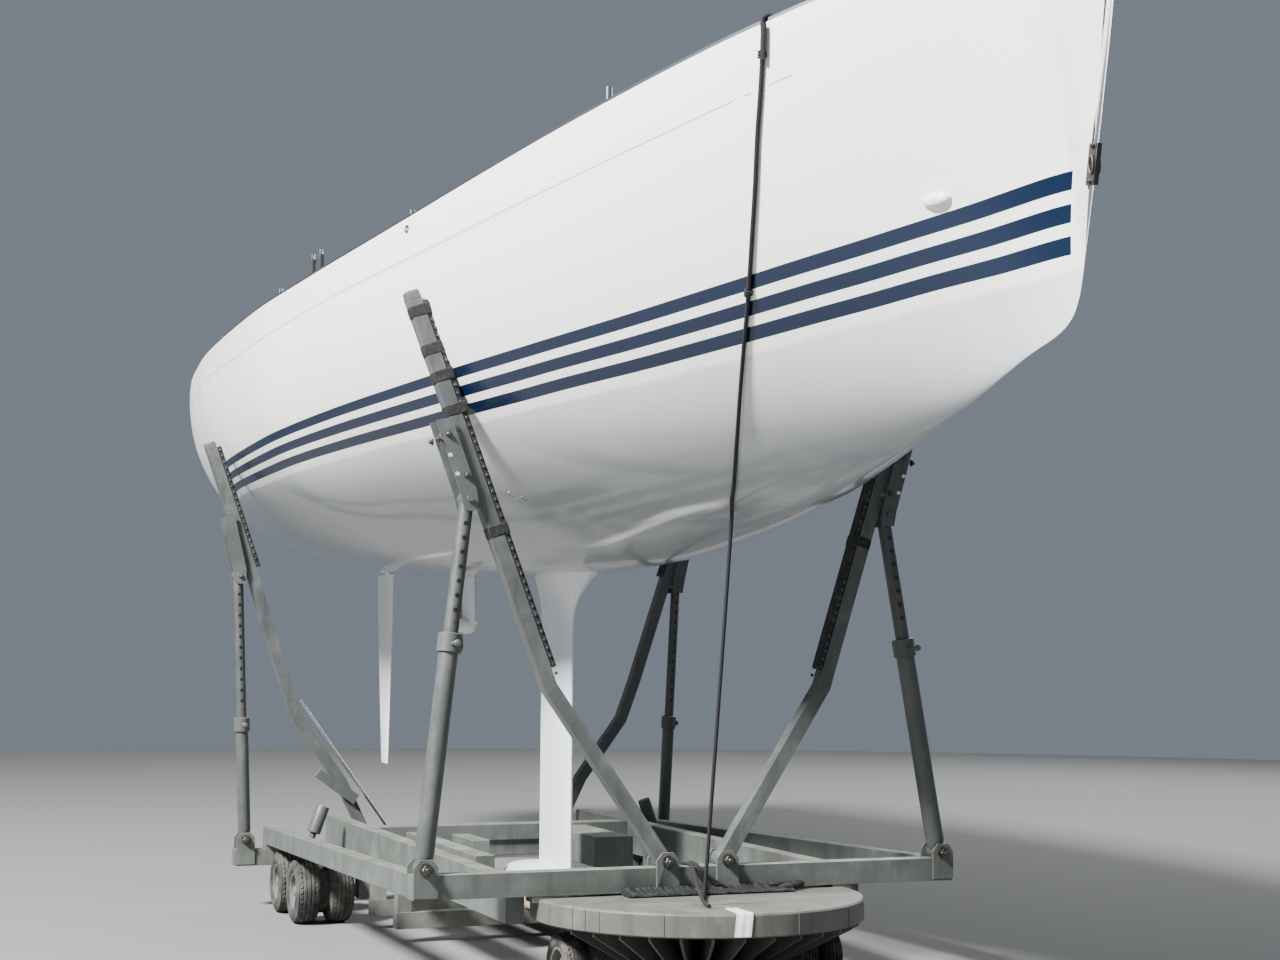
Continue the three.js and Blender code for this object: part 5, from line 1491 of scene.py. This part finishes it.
# Small fittings of the yacht: a slim alloy toe rail on each side, the oval outlet cover, stanchion
# sockets and a pair of rubber-covered posts by the deck's edge, cleats, tracks and skin fittings,
# and on the house its long windows, grab rails and rope clutches. All are bolted or bonded on.
stanchion_sockets = ((3.773, 0.1), (1.9, 0.07), (-0.157, 0.08), (-1.981, 0.07), (-3.9, 0.08),
                     (-5.5, 0.1))
post_pair = (0.493, 0.636)
cleat_places = ((5.25, 0.34), (0.05, 0.075), (-5.65, 0.14))
skin_fittings = ((1.871, 2.613), (1.954, 2.587), (1.977, 3.984))
outlet_place, outlet_halves, outlet_turn = (5.391, 3.474), (0.066, 0.026, 0.03), 0.4
track_reach, track_inboard = (-0.75, 0.95), 0.42
rail_reach, rail_height, rail_inboard, rail_radius = (-0.85, 1.05), 0.055, 0.13, 0.0125
window_from, window_length, window_middle, window_half = -1.25, 3.35, 0.6, 0.2
clutch_x, clutch_distances = -1.2, (0.5, 0.575, 0.65)
cleat_half = 0.12
house_rise, house_crown = 0.285, 0.034
house_rings = np.array([
    # x, half width at the foot, half width at the roof's edge, share of the full rise
    [-1.589, 1.02, 0.9, 1.0], [-0.188, 1.06, 0.92, 1.0], [1.213, 0.93, 0.78, 0.86],
    [2.3805, 0.68, 0.52, 0.55], [3.081, 0.43, 0.3, 0.12],
])


def make_toe_rail(label, side):
    """A thin upright profile with bevelled top corners, carried along the deck's edge."""
    low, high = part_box(f"toe_rail_{label}")
    x = np.linspace(low[0], high[0], 150)
    path = np.stack([x, side * (half_beam(x) - 0.012), sheer_z(x) + 0.008], -1)
    profile = [(-0.004, -0.012), (0.004, -0.012), (0.004, 0.01), (0.002, 0.013), (-0.002, 0.013),
               (-0.004, 0.01)]
    piece(f"toe_rail_slim_{label}", [grid(carried(profile, path), capped=True)], "hull_and_frame",
          "anodised_aluminium", anodised, [f"toe_rail_{label}"])


def make_outlet():
    """An ellipsoid half sunk in the hull's side: rings along its turned long axis, whose width
    goes as sqrt(1 - s^2) with s from -1 to 1."""
    x, z = outlet_place
    long, wide, tall = outlet_halves
    share = np.linspace(-1, 1, 25)[:, None]
    ring = ring_profile(1.0, 28)
    width = np.sqrt(np.maximum(1.0004 - share**2, 0))
    points = np.stack(np.broadcast_arrays(long * share, width * wide * ring[None, :, 0],
                                          width * tall * ring[None, :, 1]), -1)
    turn = np.array(mathutils.Matrix.Rotation(outlet_turn, 3, "Z"))
    points = points @ turn.T + np.array([x, -float(half_breadth(x, z)), z])
    piece("outlet_cover_moulded", [grid(points, capped=True)], "hull_and_frame", "white_gelcoat",
          white_gelcoat, ["outlet_cover"])


def house_line(x, column):
    """One column of the house's table at x, straight between its rings."""
    return np.interp(x, house_rings[:, 0], house_rings[:, column])


def house_place(x, up, side):
    """A place on the house's side at a share of its height, straight between the rings."""
    ring_x, lift = house_rings[:, 0], house_rings[:, 3]
    foot_z = np.interp(x, ring_x, sheer_z(ring_x) - 0.04)
    edge_z = np.interp(x, ring_x, deck_z(ring_x, 0 * ring_x) + (house_rise - house_crown) * lift)
    foot, edge = house_line(x, 1), house_line(x, 2)
    return np.stack([x, side * (foot + (edge - foot) * up), foot_z + (edge_z - foot_z) * up], -1)


def roof_height(x, y):
    """The roof's crown at a place: its ridge less the crown times (y / half width)^2."""
    ring_x = house_rings[:, 0]
    ridge = np.interp(x, ring_x, deck_z(ring_x, 0 * ring_x) + house_rise * house_rings[:, 3])
    return ridge - house_crown * (y / house_line(x, 2)) ** 2 * house_line(x, 3)


def make_window(label, side):
    """A dark band along the house's side: it narrows as sin^0.35 towards both of its ends."""
    share = np.linspace(0, 1, 70)
    x = window_from + window_length * share
    narrow = np.sin(math.pi * np.clip(share, 0.004, 0.996)) ** 0.35
    loop = [house_place(x, window_middle + window_half * up * narrow, side)
            + np.array([0, side * out, out * 0.4])
            for out, up in ((0.005, -1), (0.005, 0), (0.005, 1), (-0.006, 1), (-0.006, 0),
                            (-0.006, -1))]
    piece(f"house_window_{label}", [grid(np.stack(loop, 1), capped=True)], "hull_and_frame",
          "tinted_acrylic", smoked_acrylic)


def make_roof_gear(label, side):
    """A grab rail on posts, and three rope clutches beside the hatch track."""
    x = np.linspace(*rail_reach, 24)
    rail_y = house_line(x, 2) - rail_inboard
    roof = roof_height(x, rail_y)
    ends = np.clip(np.minimum(x - rail_reach[0], rail_reach[1] - x) / 0.05, 0, 1)
    rail = np.stack([x, side * rail_y, roof + rail_height * ends], -1)
    shapes = [tube(evened(rounded(rail, 1), 0.03), rail_radius, 14)]
    shapes += [turned([(0.022, 0), (0.012, 0.012), (0.012, 0.056)],
                      (x[k], side * rail_y[k], roof[k] - 0.004), (0, 0, 1), 16)
               for k in range(4, 24, 5)]
    piece(f"grab_rail_{label}", shapes, "hull_and_frame", "stainless_steel", stainless)
    clutches = []
    for y in clutch_distances:
        middle = np.array([clutch_x, side * y, float(roof_height(clutch_x, y)) + 0.028])
        clutches.append(block(middle, np.eye(3), (0.1, 0.027, 0.03)))
        clutches.append(block(middle + (0.02, 0, 0.042), np.eye(3), (0.07, 0.014, 0.012)))
    piece(f"rope_clutches_{label}", clutches, "hull_and_frame", "black_rubber", pad_rubber,
          roll=(0.006,))


def make_deck_fittings(label, side):
    """Turned sockets, posts and skin fittings, cleats with bent horns, and a flat track."""
    def on_deck(x, inboard, drop=0.004):
        """A place on the deck at a distance from its edge, sunk a little."""
        y = float(half_beam(x)) - inboard
        return x, side * y, float(deck_z(x, y)) - drop

    up = (0, 0, 1)
    metal, dark = [], []
    for x, tall in stanchion_sockets:
        metal.append(turned([(0.034, 0), (0.034, 0.006), (0.018, 0.01), (0.016, tall),
                             (0.0125, tall), (0.0125, tall - 0.03)], on_deck(x, 0.06), up, 24))
    for x in post_pair:
        dark.append(turned([(0.02, 0), (0.02, 0.125)], on_deck(x, 0.045), up, 24))
        metal.append(turned([(0.013, 0.12), (0.013, 0.155), (0.009, 0.16)], on_deck(x, 0.045),
                            up, 20))
    for x, inboard in cleat_places:
        _, y, base = on_deck(x, inboard, 0)
        for step in (-0.035, 0.035):
            metal.append(turned([(0.02, -0.004), (0.012, 0.012), (0.012, 0.042)],
                                (x + step, y, base), up, 16))
        reach = np.linspace(-cleat_half, cleat_half, 17)
        metal.append(tube(np.stack([x + reach, np.full(17, y), base + 0.04 + 0.5 * reach**2], -1),
                          0.011, 12))
    x = np.linspace(*track_reach, 40)
    y = half_beam(x) - track_inboard
    track = np.stack([x, side * y, deck_z(x, y) + 0.008], -1)
    dark.append(grid(carried([(-0.016, -0.01), (0.016, -0.01), (0.016, 0.006), (-0.016, 0.006)],
                             track), capped=True))
    for x, z in skin_fittings:
        metal.append(turned([(0.024, -0.002), (0.022, 0.004), (0.012, 0.005), (0.011, -0.001)],
                            *hull_side(x, z, side), 28))
    piece(f"deck_fittings_{label}", metal, "hull_and_frame", "stainless_steel", stainless)
    piece(f"deck_posts_{label}", dark, "hull_and_frame", "black_rubber", pad_rubber)


make_outlet()
for label, side in both_sides:
    make_toe_rail(label, side)
    make_deck_fittings(label, side)
    make_window(label, side)
    make_roof_gear(label, side)


# Studio: a plain pale round floor under a pale sky, a soft key light from starboard, where the
# sun stood, and a broad weak light from port for the other side.
floor_radius = 27.0
aim_place = (1.0, 0, 2.2)
lights = {
    # place, width and power
    "key": ((8, -18, 19), 4.0, 31000.0),
    "fill": ((-12, 16, 13), 12.0, 3000.0),
}


def make_studio():
    """The floor is one flat round face. Each light is a square that looks at the yacht."""
    rim = np.pad(ring_profile(floor_radius, 160), ((0, 0), (0, 1)))
    mesh = bpy.data.meshes.new("studio_floor")
    mesh.from_pydata(rim.tolist(), [], [list(range(len(rim)))])
    pale = Finish("pale_floor", roughness=0.9)
    pale.set(Base_Color=tone(124, 124, 122))
    mesh.materials.append(pale.made)
    floor = bpy.data.objects.new("studio_floor", mesh)
    bpy.context.scene.collection.objects.link(floor)

    world = bpy.data.worlds.new("studio")
    bpy.context.scene.world = world
    world.use_nodes = True
    sky = world.node_tree.nodes["Background"]
    sky.inputs["Color"].default_value = tone(196, 210, 228)
    sky.inputs["Strength"].default_value = 0.34

    for label, (place, size, power) in lights.items():
        light_data = bpy.data.lights.new(label, "AREA")
        light_data.size = size
        light_data.energy = power
        light = bpy.data.objects.new(label, light_data)
        bpy.context.scene.collection.objects.link(light)
        light.location = place
        aim = mathutils.Vector(aim_place) - mathutils.Vector(place)
        light.rotation_euler = aim.to_track_quat("-Z", "Y").to_euler()


make_studio()
